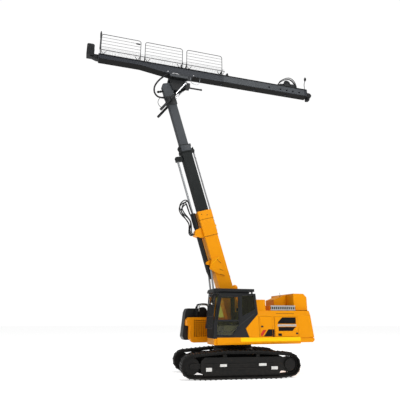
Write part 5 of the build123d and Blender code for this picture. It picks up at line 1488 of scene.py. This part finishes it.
# %% Grating
long_bar_count, long_bar_pitch, long_bar_half = 9, 0.064, 0.0015
cross_bar_count, cross_bar_pitch, cross_bar_half = 45, 0.153, 0.0025
mesh = bmesh.new()
for bar in range(long_bar_count):
    y = -0.256 + bar * long_bar_pitch
    add_box(mesh, (floor_rear, y - long_bar_half, floor_z - 0.008), (floor_front, y + long_bar_half, floor_z))
for bar in range(cross_bar_count):
    x = floor_rear + 0.05 + bar * cross_bar_pitch
    low = (x - cross_bar_half, -floor_edge, floor_z - 0.006)
    add_box(mesh, low, (x + cross_bar_half, floor_edge, floor_z - 0.001))
keep("walkway_grating", mesh, mast, "pale", "mast")
print(piece_count, "pieces so far")

# %% [markdown]
# ## Kick mesh and lamp
# A low wire mesh runs along both edges of the walkway, with a stiffer wire on top. A lamp
# stands on the front railing post, and a small box hangs on the railing.

# %% Kick mesh and lamp
wire_y, thin_wire, top_wire = 0.247, 0.0022, 0.006
long_wire_count, long_wire_pitch = 5, 0.030
upright_count, upright_pitch = 115, 0.06
mesh_height = 0.140
mesh = bmesh.new()
for side in (1, -1):
    y = side * wire_y
    for wire in range(long_wire_count):
        z = floor_z + 0.015 + wire * long_wire_pitch
        add_rod(mesh, (floor_rear, y, z), (floor_front, y, z), thin_wire, sides=4)
    for wire in range(upright_count):
        x = floor_rear + 0.005 + wire * upright_pitch
        add_rod(mesh, (x, y, floor_z), (x, y, floor_z + mesh_height - 0.003), thin_wire, sides=4)
    z = floor_z + mesh_height
    add_rod(mesh, (floor_rear, y, z), (floor_front, y, z), top_wire, sides=6)
keep("kick_mesh", mesh, mast, "pale", "mast")

front_post_x = 3.854
mesh = bmesh.new()
add_rod(mesh, (front_post_x, rail_y, 2.02), (front_post_x, rail_y, 2.30), 0.034, 0.050, sides=14)
add_rod(mesh, (front_post_x, rail_y, 2.30), (front_post_x, rail_y, 2.44), 0.050, 0.020, sides=14)
add_box(mesh, (1.790, 0.225, 2.060), (2.010, 0.262, 2.130), edge=0.008)
keep("front_post_lamp", mesh, mast, "black", "mast")
print(piece_count, "pieces so far")

# %% [markdown]
# ## Winch
# A winch stands near the rear end of the beam: a drum between two cheeks on a base plate,
# with its motor, a valve block with three couplings and a gear case. The line lies on the
# drum in nine turns, and a nine-sided ring each is round enough at this size.

# %% Winch
drum_x, drum_z, drum_radius, flange_radius, drum_half = -6.930, 1.325, 0.120, 0.220, 0.165
sheet = 0.015  # thickness of a flange and of a cheek
cheek = [(drum_x - 0.17, 1.15), (drum_x + 0.17, 1.15), (drum_x + 0.06, 1.38), (drum_x - 0.06, 1.38)]
cheek_right, cheek_left = -0.185, 0.170  # lower y of each cheek
motor_end, motor_radius = -0.240, 0.095
# span of x, span of z and half width of the base plate, the valve block and the gear case
base_plate = ((-7.560, -6.420), (1.100, 1.165), 0.19)
valve_block = ((-7.540, -7.190), (1.160, 1.380), 0.13)
gear_case = ((-6.700, -6.470), (1.160, 1.290), 0.14)
coupling_xs, coupling_low, coupling_high, coupling_radius = (-7.47, -7.36, -7.26), 1.375, 1.450, 0.034
mesh = bmesh.new()
add_block(mesh, *base_plate, edge=0.01)
for y in (-drum_half, drum_half - sheet):
    add_rod(mesh, (drum_x, y, drum_z), (drum_x, y + sheet, drum_z), flange_radius, sides=36)
add_rod(mesh, (drum_x, -drum_half, drum_z), (drum_x, drum_half, drum_z), drum_radius, sides=30)
for y in (cheek_right, cheek_left):
    add_prism(mesh, cheek, y, y + sheet)
add_rod(mesh, (drum_x, motor_end, drum_z), (drum_x, cheek_right, drum_z), motor_radius, sides=24)
add_block(mesh, *valve_block, edge=0.02)
for x in coupling_xs:
    add_rod(mesh, (x, 0.0, coupling_low), (x, 0.0, coupling_high), coupling_radius, sides=12)
add_block(mesh, *gear_case, edge=0.02)
keep("winch", mesh, mast, "black", "mast")

line_turns, line_pitch, line_radius, turn_sides = 9, 0.030, 0.013, 9
turn_radius, turn_drift = drum_radius + 0.012, 0.0033
angles = [2 * math.pi * step / turn_sides for step in range(turn_sides + 1)]
outer = [(drum_x + turn_radius * math.cos(a), drum_z + turn_radius * math.sin(a)) for a in angles]
mesh = bmesh.new()
for turn in range(line_turns):
    y = -0.120 + turn * line_pitch
    ring = [(x, y + turn_drift * step, z) for step, (x, z) in enumerate(outer)]
    add_tube(mesh, ring, line_radius, bend=0.0)
keep("winch_line", mesh, mast, "rail", "mast")
print(piece_count, "pieces so far")

# %% [markdown]
# ## Hoses of the winch
# Three hoses rise from the beam's top, arch over the winch and go down again behind it. They
# share one route. The lower ones sink only in their arch, so all their ends stay seated.

# %% Hoses of the winch
winch_route = [
    (-6.390, 1.102), (-6.400, 1.250), (-6.480, 1.430), (-6.590, 1.530), (-6.740, 1.640), (-6.930, 1.750),
    (-7.110, 1.810), (-7.270, 1.790), (-7.400, 1.700), (-7.490, 1.590), (-7.540, 1.450), (-7.590, 1.280),
    (-7.590, 1.102),
]
arch_foot = 1.38
# y of a hose over the winch and how much lower its arch lies than the highest one
winch_hoses = [(0.09, 0.0), (0.03, 0.05), (-0.04, 0.02)]
for number, (y, drop) in enumerate(winch_hoses, 1):
    route = [(x, y, z - drop if z > arch_foot else z) for x, z in winch_route]
    lay_hose(f"winch_hose_{number}", route, mast, 0.024, "rubber", "mast")

# %% [markdown]
# ## Stalk lamp
# At the very rear a lamp stands on a bent stalk. The stalk is a tube, and the lamp is three
# cones one on the other: the foot, the bowl and the cap.

# %% Stalk lamp
stalk_y = 0.19
stalk = [(-8.060, 1.060), (-8.060, 1.460), (-8.100, 1.620), (-8.130, 1.700)]
# x and z of the low end and of the high end of a cone, its two radii and its sides
lamp_cones = [
    (-8.130, 1.690, -8.155, 1.800, 0.030, 0.070, 16),
    (-8.155, 1.800, -8.160, 1.900, 0.070, 0.062, 16),
    (-8.160, 1.900, -8.160, 1.990, 0.040, 0.012, 16),
    (-8.060, 1.050, -8.060, 1.115, 0.050, 0.050, 12),
]
mesh = bmesh.new()
add_tube(mesh, [(x, stalk_y, z) for x, z in stalk], 0.020)
keep("stalk", mesh, mast, "rail", "mast")
mesh = bmesh.new()
for x_low, z_low, x_high, z_high, radius, top_radius, sides in lamp_cones:
    add_rod(mesh, (x_low, stalk_y, z_low), (x_high, stalk_y, z_high), radius, top_radius, sides=sides)
keep("stalk_lamp", mesh, mast, "black", "mast")
print(piece_count, "pieces so far")

# %% [markdown]
# ## Hoses at the boom's head
# A thin hose hangs in a loop under the beam. A thick one swings out from the beam to the
# boom's head, and a thin one from there to the tilt cylinder. The last two cross a joint, and
# they are plain mesh tubes on no body. A real hose is left long enough to bend there.

# %% Hoses at the boom's head
beam_route = [
    (-1.010, 0.18, 0.662), (-1.015, 0.18, 0.480), (-1.060, 0.18, 0.280), (-1.280, 0.18, 0.200),
    (-1.460, 0.18, 0.240), (-1.540, 0.18, 0.420), (-1.550, 0.18, 0.662),
]
head_route = [
    (0.250, 0.17, 0.600), (0.480, 0.17, 0.400), (0.760, 0.15, 0.080), (0.940, 0.12, -0.270),
    (0.930, 0.08, -0.590), (0.760, 0.05, -0.790), (0.560, 0.02, -0.810), (0.330, 0.0, -0.790),
]
tail_route = [
    (0.255, 0.20, -0.830), (0.420, 0.24, -0.860), (0.640, 0.30, -1.000), (0.760, 0.36, -1.250),
    (0.740, 0.40, -1.450), (0.640, 0.40, -1.590), (0.545, 0.40, -1.610),
]
lay_hose("beam_hose", beam_route, mast, 0.014, "pipe", "mast")
lay_bending_hose("head_hose", head_route, mast, 0.044, "rubber")
lay_bending_hose(
    "tail_hose", tail_route, mast, 0.014, "rubber"
)
print("mast done:", piece_count, "pieces so far")
